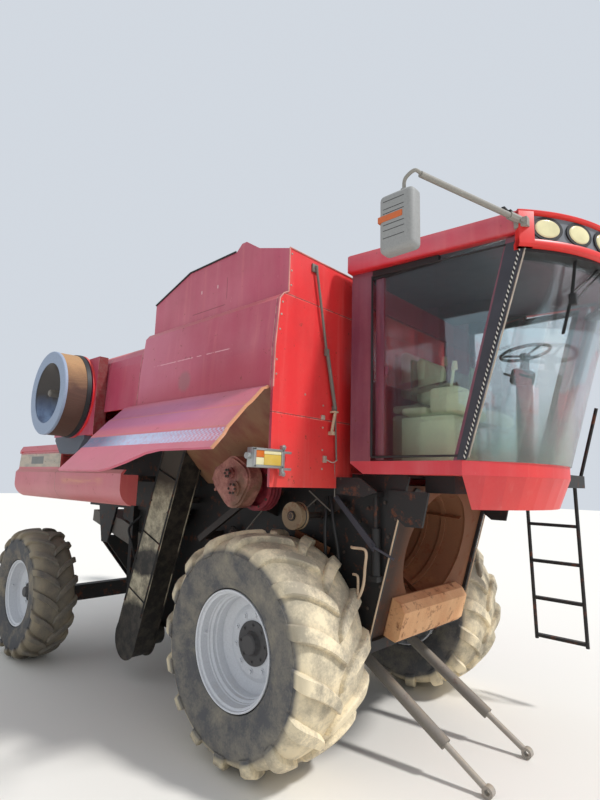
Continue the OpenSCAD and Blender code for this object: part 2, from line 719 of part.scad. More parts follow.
// Drives behind the right shield: gearcase with its sheave, idler, sprocket and fan sheave
module side_drives() {
    y = sheet_half_w;
    case_y = y + 470;
    case_t = 130;
    // lobes of the gearcase: x, z, radius
    lobes = [[-250, 2090, 165], [-180, 2170, 150], [-270, 2240, 130], [-430, 2180, 110]];
    teeth = 13;
    sprocket = [-860, 1640];
    sprocket_r = 62;
    color(rust_brown) mirror([0, 1, 0]) from_axle() {
        // gearcase: body, cover and its two hubs
        side_plate(case_y, case_t) polygon(wrap(lobes, 0, 5));
        side_plate(case_y + case_t - 10, 26) polygon(wrap(lobes, -22, 5));
        for (hub = [[-200, 2090, 62], [-270, 2220, 48]]) {
            bar_y(hub[0], hub[1], hub[2], case_y + case_t, case_y + case_t + 36);
            bar_y(hub[0], hub[1], hub[2] * 0.55, case_y + case_t, case_y + case_t + 60);
        }
        for (rib = [[-540, 2270], [-580, 2170], [-540, 2070]])
            side_plate(case_y + 20, case_t - 40) strip([-400, 2170], rib, 22);
        // bracket from the side sheet to the gearcase
        cross_plate(-330, 30)
            polygon([[y, 1840], [y, 2060], [case_y - 120, 2110], [case_y + 20, 2150], [case_y + 20, 2020]]);
        // sheave on the gearcase's shaft
        sheave(-170, 2110, 205, 40, y + 290, y + 300, 120, 3);
        bar_y(-170, 2110, 40, y + 300, case_y + 10);
        // idler on its arm
        sheave(280, 1890, 105, 26, y, y + 340, 70, 1);
        side_plate(y + 60, 20) {
            strip([280, 1890], [520, 1990], 60);
            translate([280, 1890]) circle(r = 44);
        }
        bar_y(520, 1990, 24, y, y + 80);
        // sprocket on its stub
        bar_y(sprocket[0], sprocket[1], 20, y, y + 90);
        side_plate(y + 60, 16) polygon([for (i = [0 : 4 * teeth - 1])
            let(a = 360 * i / (4 * teeth), r = sprocket_r + (i % 4 < 2 ? 8 : -6))
                [sprocket[0] + r * cos(a), sprocket[1] + r * sin(a)]]);
        // fan sheave
        sheave(-1150, 1150, 240, 45, y, y + 60, 90, 2);
        // tension arm between the elevator and the gearcase
        side_plate(y + 200, 40) strip([-1200, 1560], [-315, 2091], 64);
        cross_plate(-1140, 40)
            polygon([[y, 1540], [y, 1640], [y + 220, 1640], [y + 220, 1570]]);
    }
}

module rotor_housing() {
    front_x = 230;
    tail_x = -3250;
    color(frame_black) from_axle() side_plate(-sheet_in, 2 * sheet_in)
        polygon([[front_x, 1480], [front_x, body_top_z - 10], [-tank_rear_x - 60, body_top_z - 10],
                 [-tank_rear_x - 60, deck_z - 150], [tail_x + 400, deck_z - 150], [tail_x, 1900],
                 [tail_x, 1640], [-2600, 1440], [-300, 1380]]);
}

module cleaning_gear() {
    shoe_tail_x = -4100;
    color(dusty_grey) from_axle() {
        // fan drum between the sheets, then the sieve shoe behind it
        bar_y(-980, 930, 290, -sheet_in, sheet_in);
        side_plate(-sheet_in, 2 * sheet_in)
            polygon([[-1500, 1330], [-2600, 1410], [-3250, 1600], [shoe_tail_x, 1690],
                     [shoe_tail_x - 10, 1540], [-3300, 1360], [-1500, 970]]);
    }
}

// Cab

// The cab's plan, moved inwards by inset
module cab_plan(inset)
    intersection() {
        translate([screen_axis_x, 0]) circle(r = screen_r - inset);
        translate([cab_rear_x + inset, -cab_half_w + inset])
            square([2000, 2 * (cab_half_w - inset)]);
    }

// Leaning frame of the windscreen: its local z runs up the front pillar
module leaning()
    translate([pillar_x, 0, floor_z]) rotate([0, cab_lean, 0]) translate([-pillar_x, 0, 0]) children();

module cab_floor() {
    low_z = floor_z - cab_floor_t;
    foot_z = 2005;
    // how far the front panel's foot lies behind its top
    foot_in = 90;
    color(wall_red) from_axle() {
        difference() {
            translate([0, 0, low_z]) linear_extrude(cab_floor_t) cab_plan(0);
            // chamfer below the rear corner
            side_plate(-cab_half_w - cut, 2 * (cab_half_w + cut))
                polygon([[cab_rear_x - cut, low_z - cut], [cab_rear_x + 130, low_z - cut],
                         [cab_rear_x - cut, floor_z - 15]]);
        }
        difference() {
            hull() {
                translate([0, 0, low_z]) linear_extrude(cut) cab_plan(0, $fn = 48);
                translate([0, 0, foot_z]) linear_extrude(cut) cab_plan(foot_in, $fn = 48);
            }
            hull() {
                translate([0, 0, low_z - 2 * cut]) linear_extrude(3 * cut) cab_plan(30, $fn = 48);
                translate([0, 0, foot_z - 2 * cut]) linear_extrude(cut) cab_plan(foot_in + 30, $fn = 48);
            }
            block([0, -1200, foot_z - 10], [pillar_x, 1200, low_z]);
        }
    }
}

pillar_rear_x = 850;
door_pin_y = cab_half_w + 17;
door_hinge_z = [floor_z + 250, roof_z - 330];

module cab_frame() {
    rise = roof_z - floor_z;
    color("maroon") from_axle() {
        difference() {
            block([cab_rear_x, -cab_half_w, floor_z], [cab_rear_x + 40, cab_half_w, roof_z]);
            block([cab_rear_x - cut, -cab_half_w + 200, floor_z + 700],
                  [cab_rear_x + 40 + cut, cab_half_w - 200, roof_z - 150]);
        }
        // pins of the door's hinges
        for (z = door_hinge_z) {
            translate([pillar_rear_x, door_pin_y, z - 30]) {
                cylinder(r = 8, h = 100);
                cylinder(r = 16, h = 29);
            }
            block([pillar_rear_x - 50, cab_half_w, z - 30], [pillar_rear_x, door_pin_y + 8, z - 1]);
        }
        both_sides() {
            block([cab_rear_x + 40, cab_half_w - 40, floor_z], [pillar_rear_x, cab_half_w, roof_z]);
            intersection() {
                leaning() block([pillar_x - pillar_w, cab_half_w - 60, -200], [pillar_x, cab_half_w, rise + 300]);
                block([0, 0, floor_z], [3000, cab_half_w, roof_z]);
            }
        }
    }
}

module cab_glass() {
    rise = roof_z - floor_z;
    color("lightblue", 0.35) from_axle() {
        // windscreen
        intersection() {
            leaning() difference() {
                translate([screen_axis_x, 0, -300]) cylinder(r = screen_r, h = rise + 700);
                translate([screen_axis_x, 0, -300 - cut])
                    cylinder(r = screen_r - pane_t, h = rise + 700 + 2 * cut);
            }
            block([1000, -cab_half_w, floor_z], [3000, cab_half_w, roof_z]);
            leaning() block([pillar_x, -cab_half_w, -300], [pillar_x + 1000, cab_half_w, rise + 400]);
        }
        // right window
        side_plate(-cab_half_w + 10, pane_t)
            polygon([[pillar_rear_x, floor_z], [pillar_x - pillar_w / cos(cab_lean) - seal_gap, floor_z],
                     [pillar_x - pillar_w / cos(cab_lean) - seal_gap + rise * tan(cab_lean), roof_z],
                     [pillar_rear_x, roof_z]]);
        // rear window
        block([cab_rear_x + 15, -cab_half_w + 200, floor_z + 700],
              [cab_rear_x + 15 + pane_t, cab_half_w - 200, roof_z - 150]);
    }
}

module cab_door() {
    rise = roof_z - floor_z;
    gap = 6;
    w = 55;
    foot_x = pillar_x - pillar_w / cos(cab_lean) - gap;
    color(frame_black) from_axle() {
        for (z = door_hinge_z)
            translate([pillar_rear_x, door_pin_y, z]) difference() {
                union() {
                    cylinder(r = 16, h = 80);
                    block([0, -17, 0], [60, 0, 80]);
                }
                translate([0, 0, -cut]) cylinder(r = 8 + shaft_gap, h = 80 + 2 * cut);
            }
        side_plate(cab_half_w - 35, 35) difference() {
            polygon([[pillar_rear_x + gap, floor_z + gap], [foot_x, floor_z + gap],
                     [foot_x + (rise - 2 * gap) * tan(cab_lean), roof_z - gap], [pillar_rear_x + gap, roof_z - gap]]);
            polygon([[pillar_rear_x + gap + w, floor_z + gap + w],
                     [foot_x - w + w * tan(cab_lean), floor_z + gap + w],
                     [foot_x - w + (rise - 2 * gap - w) * tan(cab_lean), roof_z - gap - w],
                     [pillar_rear_x + gap + w, roof_z - gap - w]]);
        }
    }
}

module door_glass() {
    rise = roof_z - floor_z;
    gap = 6;
    w = 55;
    foot_x = pillar_x - pillar_w / cos(cab_lean) - gap;
    color("lightblue", 0.35) from_axle() side_plate(cab_half_w - 24, pane_t)
        polygon([[pillar_rear_x + gap + w, floor_z + gap + w], [foot_x - w + w * tan(cab_lean), floor_z + gap + w],
                 [foot_x - w + (rise - 2 * gap - w) * tan(cab_lean), roof_z - gap - w],
                 [pillar_rear_x + gap + w, roof_z - gap - w]]);
}

roof_t = 150;
visor_r = (pow(1000, 2) + pow(410, 2)) / (2 * 410);

module roof_plan(inset)
    offset(r = 60) offset(r = -60 - inset) intersection() {
        translate([visor_front_x - visor_r, 0]) circle(r = visor_r, $fn = 96);
        translate([cab_rear_x - 20, -1000]) square([2200, 2000]);
    }

module cab_roof() {
    visor_drop = 50;
    band_low = roof_z + 24;
    band_h = 84;
    color(wall_red) from_axle() {
        difference() {
            hull() {
                translate([0, 0, roof_z]) linear_extrude(cut) roof_plan(20);
                translate([0, 0, roof_z + 12]) linear_extrude(98) roof_plan(0);
                translate([0, 0, roof_z + roof_t - cut]) linear_extrude(cut) roof_plan(120);
            }
            // band round the front that the lamps sit in
            intersection() {
                difference() {
                    translate([0, 0, band_low]) linear_extrude(band_h) roof_plan(-40);
                    translate([0, 0, band_low - cut]) linear_extrude(band_h + 2 * cut) roof_plan(26);
                }
                block([2080, -1100, roof_z - 100], [2700, 1100, roof_z + 200]);
            }
        }
        // visor's lower lip ahead of the windscreen
        intersection() {
            translate([0, 0, roof_z - visor_drop]) linear_extrude(visor_drop + 10) difference() {
                roof_plan(24);
                roof_plan(46);
            }
            block([2060, -1100, roof_z - 100], [2700, 1100, roof_z + 200]);
        }
    }
}

module seat() {
    color([0.72, 0.68, 0.6]) from_axle() {
        block([850, -250, floor_z], [1250, 250, floor_z + 380]);
        block([850, -270, floor_z + 380], [1350, 270, floor_z + 500]);
        block([830, -250, floor_z + 500], [950, 250, floor_z + 1000]);
        // console on the right of the seat
        block([900, -560, floor_z], [1400, -320, floor_z + 560]);
    }
}

module steering_column() {
    base = [1720, 0, floor_z];
    head = [1600, 0, floor_z + 800];
    color(frame_black) from_axle() {
        difference() {
            rod(base - (head - base) * 0.1, head, 45);
            block([1500, -100, floor_z - 200], [1900, 100, floor_z]);
        }
        translate(head) rotate([0, atan2(head[0] - base[0], head[2] - base[2]), 0]) {
            rotate_extrude() translate([190, 0]) circle(r = 14);
            for (a = [0, 120, 240]) rotate([0, 0, a]) rotate([0, 90, 0]) cylinder(r = 10, h = 190);
        }
    }
}

module platform() {
    y0 = cab_half_w + 60;
    y1 = 1520;
    z = floor_z - 120;
    edge = 1750;
    tread_rise = 380;
    rail_r = 17;
    rail_h = 900;
    rail_x = [tank_front_x + 60, tank_front_x + 250];
    color(frame_black) from_axle() {
        block([tank_front_x, y0, z - 40], [edge, y1, z]);
        block([tank_front_x, sheet_half_w, z - 100], [front_top_x - 10, y0 + 40, z - 40]);
        // kick boards round the outside
        block([tank_front_x, y1 - 8, z - 40], [1180, y1, z + 80]);
        block([edge - 8, y0, z - 40], [edge, y1, z + 80]);
        // ladder: two stiles and four treads
        for (x = [1180, 1660])
            rod([x, y1 - 20, z - 20], [x, y1 + 120, 620], 18);
        for (i = [0 : 3])
            block([1180, y1 + 90 - i * 32, 640 + i * tread_rise], [1660, y1 + 150 - i * 32, 670 + i * tread_rise]);
        // grab bar by the ladder, leaning with the door's edge
        rod([1700, y1 - 20, z - 10], [1900, y1 - 20, z + 760], rail_r);
        // handrail behind the door's sweep
        for (x = rail_x)
            rod([x, y1 - 20, z - 10], [x, y1 - 20, z + rail_h], rail_r);
        for (h = [rail_h / 2, rail_h]) {
            rod([rail_x[0], y1 - 20, z + h], [rail_x[1], y1 - 20, z + h], rail_r);
            for (x = rail_x)
                translate([x, y1 - 20, z + h]) sphere(r = rail_r + 3, $fn = 24);
        }
    }
}

module mirror_set(knee, drop) {
    root = [1990, 1020, roof_z + 70];
    head = [280, 80, 450];
    chamfer = 50;
    block([1950, 1000, roof_z + 45], [2030, 1040, roof_z + 95]);
    rod(root, knee, 17);
    translate(knee) sphere(r = 21);
    rod(knee, knee - [0, 0, drop], 14);
    translate(knee - [head[0] / 2, 0, drop + head[2]]) {
        side_plate(-head[1] / 2, head[1])
            polygon([[chamfer, 0], [head[0] - chamfer, 0], [head[0], chamfer], [head[0], head[2] - chamfer],
                     [head[0] - chamfer, head[2]], [chamfer, head[2]], [0, head[2] - chamfer], [0, chamfer]]);
        // ribs across the shell
        for (i = [1 : 5])
            block([chamfer / 2, -head[1] / 2 - 8, head[2] * i / 6 - 8],
                  [head[0] - chamfer / 2, head[1] / 2 + 8, head[2] * i / 6 + 8]);
    }
}

module mirrors()
    color(dusty_grey) from_axle() {
        mirror_set([2180, 1830, roof_z + 110], 60);
        mirror([0, 1, 0]) mirror_set([1720, 1860, roof_z + 110], 60);
    }

module lamps() {
    eye = [48, 36];
    marker_y = body_half_w - 50;
    from_axle() {
        color([0.9, 0.88, 0.75])
            // angle of each lamp about the visor's centre
            for (a = [-35, -26, 26, 35])
                translate([visor_front_x - visor_r, 0, roof_z + 66]) rotate([0, 90, a])
                    translate([0, 0, visor_r - 70]) cylinder(r = eye[1], h = 66);
        // marker lamps on their arms, out past the bulkhead's edge
        color("orange") both_sides() {
            block([tank_front_x + 14, marker_y, 2260], [tank_front_x + 70, marker_y + 280, 2380]);
            for (z = [2268, 2356])
                block([tank_front_x, marker_y - 110, z], [tank_front_x + 14, marker_y + 20, z + 16]);
        }
    }
}

module exhaust_stack()
    color(dusty_grey) from_axle() translate([-2400, 1000, hood_fall]) {
        cylinder(r = 60, h = 260);
        translate([0, 0, 200]) cylinder(r = 45, h = 160);
    }

// Unloading auger

turret_r = auger_r - 10;
turret_z = 3050;
auger_foot_z = auger_z - auger_r - 15;

module auger_turret()
    color(wall_red) from_axle() {
        difference() {
            union() {
                bar_y(auger_pivot_x, turret_z, turret_r, body_half_w - 60, auger_y);
                translate([auger_pivot_x, auger_y, turret_z]) sphere(r = turret_r);
                translate([auger_pivot_x, auger_y, turret_z]) {
                    cylinder(r = turret_r, h = auger_foot_z - slack - turret_z);
                    cylinder(r = 60, h = auger_foot_z + 80 - turret_z);
                }
            }
            cross_plate(-tank_rear_x, tank_rear_x + tank_front_x) tank_section(0);
        }
        // rest that carries the folded tube
        difference() {
            block([-2700, body_half_w - 60, auger_z - auger_r - 60],
                  [-2620, auger_y + 100, auger_z - auger_r - 1]);
            cross_plate(-engine_rear_x, engine_rear_x - tank_rear_x)
                hood_section(body_half_w, hood_fall, shield_z);
        }
    }

module auger() {
    flange_r = auger_r + 14;
    spout_w = 2 * spout_r;
    color(wall_red) from_axle() translate([auger_pivot_x, auger_y, auger_z]) {
        difference() {
            union() {
                translate([0, 0, auger_foot_z - auger_z]) cylinder(r = auger_r, h = auger_z - auger_foot_z);
                sphere(r = auger_r);
                rotate([0, -90, 0]) cylinder(r = auger_r, h = auger_len);
                // flanges where the tube's lengths are bolted together
                for (x = [260, auger_len * 0.42, auger_len - spout_r - 40])
                    translate([-x, 0, 0]) rotate([0, -90, 0]) cylinder(r = flange_r, h = 24);
            }
            translate([0, 0, auger_foot_z - auger_z - cut])
                cylinder(r = 60 + shaft_gap, h = 90 + cut);
        }
        // spout: a hood over the tube's end, opening downwards
        translate([-auger_len, 0, 0]) side_plate(-spout_w / 2, spout_w)
            polygon([[-spout_r, 60], [-spout_r + 60, spout_r - 20], [spout_r - 60, spout_r - 20],
                     [spout_r, 60], [spout_r, -auger_r - 60], [spout_r - 70, -auger_r - 160],
                     [-spout_r + 40, -auger_r - 160], [-spout_r, -auger_r - 60]]);
    }
}

// Side shields

shield_pin_y = body_half_w + 12.3;

shield_rear_x = -1540;

// Outline of the shield as it hangs closed: x, z
module shield_outline() {
    front_x = tank_front_x - panel_t - slack - 5;
    low_z = shield_z - shield_len;
    polygon([[front_x, shield_z - 15], [front_x, low_z], [-150, low_z], [-300, low_z - 30], [-480, low_z - 130],
             [-620, low_z - 190], [-760, shield_z - shield_arch_len], [shield_rear_x, shield_z - shield_arch_len],
             [shield_rear_x, shield_z - 15]]);
}

// Section of a shield: two creases press its middle outwards. Columns: distance out, down from the hinge.
module shield_section() {
    outer = [[8, 15], [22, 40], [26, 200], [34, 250], [34, 480], [22, 540], [22, shield_arch_len + cut]];
    t = 20;
    polygon(concat([for (p = outer) [body_half_w + p[0], shield_z - p[1]]],
                   [for (i = [len(outer) - 1 : -1 : 0]) [body_half_w + outer[i][0] + t, shield_z - outer[i][1]]]));
}

module closed_shield()
    from_axle() {
        intersection() {
            side_plate(body_half_w, 80) shield_outline();
            cross_plate(shield_rear_x - cut, 490 - shield_rear_x + 2 * cut) shield_section();
        }
        translate([shield_rear_x, shield_pin_y, shield_z]) rotate([0, 90, 0])
            cylinder(r = 12, h = 490 - shield_rear_x);
        block([shield_rear_x, body_half_w + 8, shield_z - 20], [490, body_half_w + 20, shield_z]);
    }

module side_shield_left()
    color(wall_red) closed_shield();

module side_shield_right()
    color(wall_red) mirror([0, 1, 0]) translate([0, shield_pin_y, shield_z]) rotate([shield_open, 0, 0])
        translate([0, -shield_pin_y, -shield_z]) closed_shield();

// Header lift cylinders

// Frame of a lift cylinder: its local x runs along the rod from the base pin
module lift_frame()
    from_axle() translate([lift_pin_x, lift_y, lift_pin_z]) rotate([0, lift_drop, 0]) children();

module lift_barrel_left()
    color(rim_grey) lift_frame() difference() {
        union() {
            bar_y(0, 0, 38, -30, 30);
            block([20, -28, -28], [70, 28, 28]);
            translate([50, 0, 0]) rotate([0, 90, 0]) cylinder(r = 48, h = lift_barrel_len - 50);
        }
        bar_y(0, 0, 20 + shaft_gap, -40, 40);
        translate([lift_barrel_len - 500, 0, 0]) rotate([0, 90, 0]) cylinder(r = 25 + shaft_gap, h = 501);
    }
module lift_barrel_right()
    mirror([0, 1, 0]) lift_barrel_left();

module lift_rod_left()
    color([0.8, 0.8, 0.82]) lift_frame() difference() {
        union() {
            translate([lift_barrel_len - 120, 0, 0]) rotate([0, 90, 0]) cylinder(r = 25, h = lift_rod_out + 120 - 30);
            bar_y(lift_len, 0, lift_eye_r, -28, 28);
        }
        bar_y(lift_len, 0, 20, -40, 40);
    }
module lift_rod_right()
    mirror([0, 1, 0]) lift_rod_left();

main_frame();
drive_axle();
intake_cone();
front_brackets();
grain_tank();
tank_extension();
engine();
engine_deck();
engine_hood();
screen_housing();
rotor_housing();
rear_hood();
rear_side_panels();
steer_axle();
elevators();
side_drives();
cleaning_gear();
cab_floor();
cab_frame();
cab_roof();
cab_glass();
seat();
steering_column();
platform();
mirrors();
lamps();
exhaust_stack();
auger_turret();
auger();
air_screen();
side_shield_right();
side_shield_left();
cab_door();
door_glass();
lift_barrel_right();
lift_rod_right();
lift_barrel_left();
lift_rod_left();
knuckle_right();
knuckle_left();
tie_rod();
drive_tyre_right();
drive_rim_right();
drive_tyre_left();
drive_rim_left();
steer_tyre_right();
steer_rim_right();
steer_tyre_left();
steer_rim_left();
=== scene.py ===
# %% [markdown]
# # A combine harvester with its front open
# The machine is parked without its feeder and header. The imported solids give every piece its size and
# its place. This lesson adds what a photograph shows and a plain solid doesn't: worn tyres,
# sun-bleached paint, dust, rust, seams, bolts and glass. All sizes are in metres, +X is the front,
# +Y the machine's left, and the floor is at z = 0.

# %% Load the frame
import bpy
import bmesh
import math
from mathutils import Matrix, Vector


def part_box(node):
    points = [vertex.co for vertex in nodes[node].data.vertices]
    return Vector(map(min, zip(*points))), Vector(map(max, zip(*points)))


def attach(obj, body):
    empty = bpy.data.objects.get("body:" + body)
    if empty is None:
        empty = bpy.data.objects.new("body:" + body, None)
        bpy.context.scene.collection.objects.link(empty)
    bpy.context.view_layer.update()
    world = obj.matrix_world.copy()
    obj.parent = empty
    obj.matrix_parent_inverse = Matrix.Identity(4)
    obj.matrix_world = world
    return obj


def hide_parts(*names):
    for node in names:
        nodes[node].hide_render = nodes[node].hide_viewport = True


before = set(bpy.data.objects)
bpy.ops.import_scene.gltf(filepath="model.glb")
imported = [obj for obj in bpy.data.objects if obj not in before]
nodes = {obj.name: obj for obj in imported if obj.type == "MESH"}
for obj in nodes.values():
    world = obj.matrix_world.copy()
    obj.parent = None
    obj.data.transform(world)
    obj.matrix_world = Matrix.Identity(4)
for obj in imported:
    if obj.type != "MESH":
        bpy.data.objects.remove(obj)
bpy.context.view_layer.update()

# %% [markdown]
# ## Where things are
# Most places are counted from the drive axle, as on the real machine's drawings. Its line is found
# from the tyre's own box, so the lesson follows the frame if a size changes there.

# %% Places read from the frame
def middle(node):
    """The middle of a node's box."""
    low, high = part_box(node)
    return (low + high) / 2


def size(node):
    """The extent of a node's box along X, Y and Z."""
    low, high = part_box(node)
    return high - low


axle_x = middle("drive_tyre_right").x
print("drive axle at", round(axle_x, 4), "and its tyre", round(size("drive_tyre_right").z, 3), "high")


def at_axle(x, y, z):
    """A point given from the drive axle's line, put in the machine's frame."""
    return Vector((axle_x + x, y, z))


# %% [markdown]
# ## The camera
# The photograph was taken by the right front corner, at eye height, a few steps away, with a wide lens.
# A camera's axes are three unit vectors, so the matrix is written straight from them: the view
# direction from a turn and a tilt, and a small roll because the camera was not held quite level.

# %% Camera
camera_at = at_axle(3.203, -4.255, 2.160)
turn = math.radians(-43.18)
tilt = math.radians(9.14)
roll = math.radians(1.64)
focal_pixels = 511.2
image_height = 800
sensor_mm = 36.0

ahead = Vector((math.sin(turn) * math.cos(tilt), math.cos(turn) * math.cos(tilt), math.sin(tilt)))
level = ahead.cross(Vector((0, 0, 1))).normalized()
upright = level.cross(ahead)
right_axis = level * math.cos(roll) + upright * math.sin(roll)
up_axis = upright * math.cos(roll) - level * math.sin(roll)

camera_data = bpy.data.cameras.new("photographer")
camera_data.sensor_fit = "AUTO"
camera_data.sensor_width = sensor_mm
camera_data.lens = focal_pixels * sensor_mm / image_height
camera_data.clip_end = 200
camera = bpy.data.objects.new("photographer", camera_data)
bpy.context.scene.collection.objects.link(camera)
axes = Matrix((right_axis, up_axis, -ahead)).transposed().to_4x4()
camera.matrix_world = Matrix.Translation(camera_at) @ axes
bpy.context.scene.camera = camera
print("lens", round(camera_data.lens, 2), "mm")

# %% [markdown]
# ## Shader maths as expressions
# A material is a graph of nodes, and a graph is hard to read as code. One small class wraps an output
# socket and turns +, - and * into Math nodes, so that a mask reads like the sentence that explains it.
# Every other node comes from one method.

# %% Wires
class Wire:
    """An output socket that can be used in arithmetic."""

    def __init__(self, finish, socket):
        self.finish = finish
        self.socket = socket

    def math(self, operation, *others):
        """Any Math node, with this socket first."""
        return self.finish.node("ShaderNodeMath", {"operation": operation}, dict(enumerate((self, *others))))

    def __add__(self, other):
        return self.math("ADD", other)

    def __sub__(self, other):
        return self.math("SUBTRACT", other)

    def __rsub__(self, other):
        return self.finish.node("ShaderNodeMath", {"operation": "SUBTRACT"}, {0: other, 1: self})

    def __mul__(self, other):
        return self.math("MULTIPLY", other)

    __radd__ = __add__
    __rmul__ = __mul__

    def step(self, low, high):
        """0 below low, 1 above high, and a straight ramp between."""
        return self.finish.node("ShaderNodeMapRange", {"clamp": True},
                                {"Value": self, "From Min": low, "From Max": high})


# %% Finishes
class Finish:
    """A material under construction: its nodes, its shader and a few shared patterns."""

    def __init__(self, name, **sockets):
        """A new material. A shader's socket is named with _ for a space, and gets one value all over."""
        self.material = bpy.data.materials.new(name)
        self.material.use_nodes = True
        self.tree = self.material.node_tree
        self.shader = self.tree.nodes["Principled BSDF"]
        for socket, value in sockets.items():
            self.shader.inputs[socket.replace("_", " ")].default_value = value

    def node(self, kind, settings=None, inputs=None, output=0):
        """Any node: its kind, its settings, the values or wires of its sockets, and which output is read."""
        made = self.tree.nodes.new(kind)
        for key, value in (settings or {}).items():
            setattr(made, key, value)
        for key, value in (inputs or {}).items():
            socket = made.inputs[key]
            if isinstance(value, Wire):
                self.tree.links.new(value.socket, socket)
            else:
                socket.default_value = value
        return Wire(self, made.outputs[output])

    def place(self, stretch=(1, 1, 1)):
        """Object coordinates, stretched."""
        coordinates = self.node("ShaderNodeTexCoord", output="Object")
        if stretch == (1, 1, 1):
            return coordinates
        return self.node("ShaderNodeMapping", {}, {"Vector": coordinates, "Scale": stretch})

    def noise(self, scale, detail=4, rough=0.55, stretch=(1, 1, 1)):
        """Cloudy noise from 0 to 1, about 0.5 on average."""
        return self.node("ShaderNodeTexNoise", {},
                         {"Vector": self.place(stretch), "Scale": scale, "Detail": detail,
                          "Roughness": rough})

    def facing(self, axis):
        """How much a surface faces +X, +Y or +Z."""
        normal = self.node("ShaderNodeTexCoord", output="Normal")
        return self.node("ShaderNodeSeparateXYZ", {}, {"Vector": normal}, output="XYZ".index(axis))

    def side(self):
        """How much a surface faces to either side."""
        return self.facing("Y").math("ABSOLUTE")

    def height(self, axis="Z"):
        """The coordinate along one axis, in metres."""
        return self.node("ShaderNodeSeparateXYZ", {}, {"Vector": self.place()}, output="XYZ".index(axis))

    def reach(self, across, up):
        """The distance from a line that two offsets are measured from."""
        return (across * across + up * up).math("SQRT")

    def mix(self, share, first, second):
        """A colour between two, by a share from 0 to 1."""
        return self.node("ShaderNodeMix", {"data_type": "RGBA"}, {0: share, 6: first, 7: second}, output=2)

    def use(self, socket, wire):
        """Feeds one of the shader's sockets."""
        self.tree.links.new(wire.socket, self.shader.inputs[socket])

    def bump(self, height, strength, distance):
        """Relief in the shading, from a height that varies over the surface."""
        self.use("Normal", self.node("ShaderNodeBump", {},
                                     {"Strength": strength, "Distance": distance, "Height": height}))


def tone(red, green, blue):
    """A colour read from 0 to 255 as the eye sees it, turned to the linear values that shaders use."""
    def linear(value):
        value = value / 255
        return value / 12.92 if value <= 0.04045 else ((value + 0.055) / 1.055) ** 2.4
    return (linear(red), linear(green), linear(blue), 1)


materials_before = len(bpy.data.materials)
print("materials before the first finish:", materials_before)

# %% [markdown]
# ## Red paint
# The faces that look forward are painted a bright sunlit red, and the long sides a dusky pink that is
# painted shade with a painted sky reflection. A surface's own normal tells the two apart. On top of that
# come slow patches of paler painted sky reflection on the sides, vertical streaks from rain and dust,
# small chips down to primer, and a dust film on what faces up. A large, weak bump bends the reflections
# as thin sheet metal does.

# %% Bands and seams
DUST = tone(196, 176, 146)
RUST = tone(112, 62, 38)


def band(finish, axis, low, high, soft=0.004):
    """1 between two places along an axis, 0 elsewhere."""
    place = finish.height(axis)
    return place.step(low - soft, low + soft) * (1 - place.step(high - soft, high + soft))


def seams(places, wide=0.003):
    """A mark for sheet joints: thin dark lines with a pale, chipped lip. Places are (axis, place) pairs."""
    def mark(paint, colour):
        chipped = paint.noise(16, detail=4, rough=0.7).step(0.4, 0.62)
        for axis, place in places:
            lip = band(paint, axis, place - 3 * wide, place + 2 * wide, wide)
            colour = paint.mix(lip * chipped * 0.55, colour, tone(226, 176, 160))
            colour = paint.mix(band(paint, axis, place - wide, place + wide, wide / 2) * 0.8, colour,
                               tone(70, 22, 26))
        return colour
    return mark


# %% Red paint
def red_paint(name, front, side, dusty=0.35, chips=0.62, marks=()):
    """Painted sunlit in front, painted shade with a sky reflection at the sides, dusty on top and chipped;
    the marks go under the chips.
    """
    paint = Finish(name, Roughness=0.42, Coat_Weight=0.22, Coat_Roughness=0.35)
    patches = paint.noise(0.9, detail=5)
    streaks = paint.noise(3.0, detail=6, stretch=(3, 3, 0.25))
    grain = paint.noise(45, detail=6, rough=0.7)
    shade_side = paint.side().step(0.35, 0.9)
    # front is a painted sunlit colour and side a painted shade colour with a mauve sky reflection; the
    # surface's normal picks between them.
    colour = paint.mix(shade_side, front, side)
    # Slow patches of paler, painted pink sky reflection on the sides.
    sky_sheen_pink = paint.mix(0.5, side, tone(214, 150, 160))
    colour = paint.mix((patches * 0.9 + streaks * 0.4 - 0.5).step(0.0, 0.35) * shade_side * 0.55, colour, sky_sheen_pink)
    deep = paint.mix(0.35, colour, tone(120, 20, 30))
    colour = paint.mix((paint.noise(1.6, detail=4) - 0.45).step(0.0, 0.2) * 0.5, colour, deep)
    pale = paint.noise(5.0, detail=6, stretch=(3, 3, 0.15)).step(0.56, 0.74)
    colour = paint.mix(pale * 0.14, colour, tone(236, 150, 140))
    upward = paint.facing("Z").step(0.3, 0.95)
    low = 1 - paint.height().step(1.9, 2.6)
    film = ((upward * 0.6 + low * 0.3 + streaks * 0.25) * dusty + grain * 0.1 - 0.08).step(0.0, 1.0)
    colour = paint.mix(film, colour, DUST)
    for mark in marks:
        colour = mark(paint, colour)
    chip = paint.noise(14, detail=8, rough=0.75).step(chips, chips + 0.05)
    colour = paint.mix(chip * 0.8, colour, RUST)
    scuff = paint.noise(26, detail=6, rough=0.8, stretch=(1, 1, 0.5)).step(0.66, 0.72)
    colour = paint.mix(scuff * 0.5, colour, tone(236, 196, 184))
    paint.use("Base Color", colour)
    paint.use("Roughness", (0.38 + streaks * 0.25 + film * 0.5 + chip * 0.3).step(0, 1))
    buckle = paint.noise(1.6, detail=1) * 0.9 + grain * 0.02 - chip * 0.04
    paint.bump(buckle, 0.35, 0.02)
    return paint.material


# %% Marks on the tank
def under_the_tank(paint, colour):
    """The sloping tank floor under the shields: red gone brown, with rust runs."""
    below = (0 - paint.facing("Z")).step(0.25, 0.6) * (1 - paint.height().step(2.84, 2.86))
    runs = paint.noise(3, detail=7, rough=0.6, stretch=(1.6, 1, 0.8)).step(0.40, 0.66)
    brown = paint.mix(runs, tone(146, 106, 78), tone(128, 66, 54))
    return paint.mix(below, colour, brown)


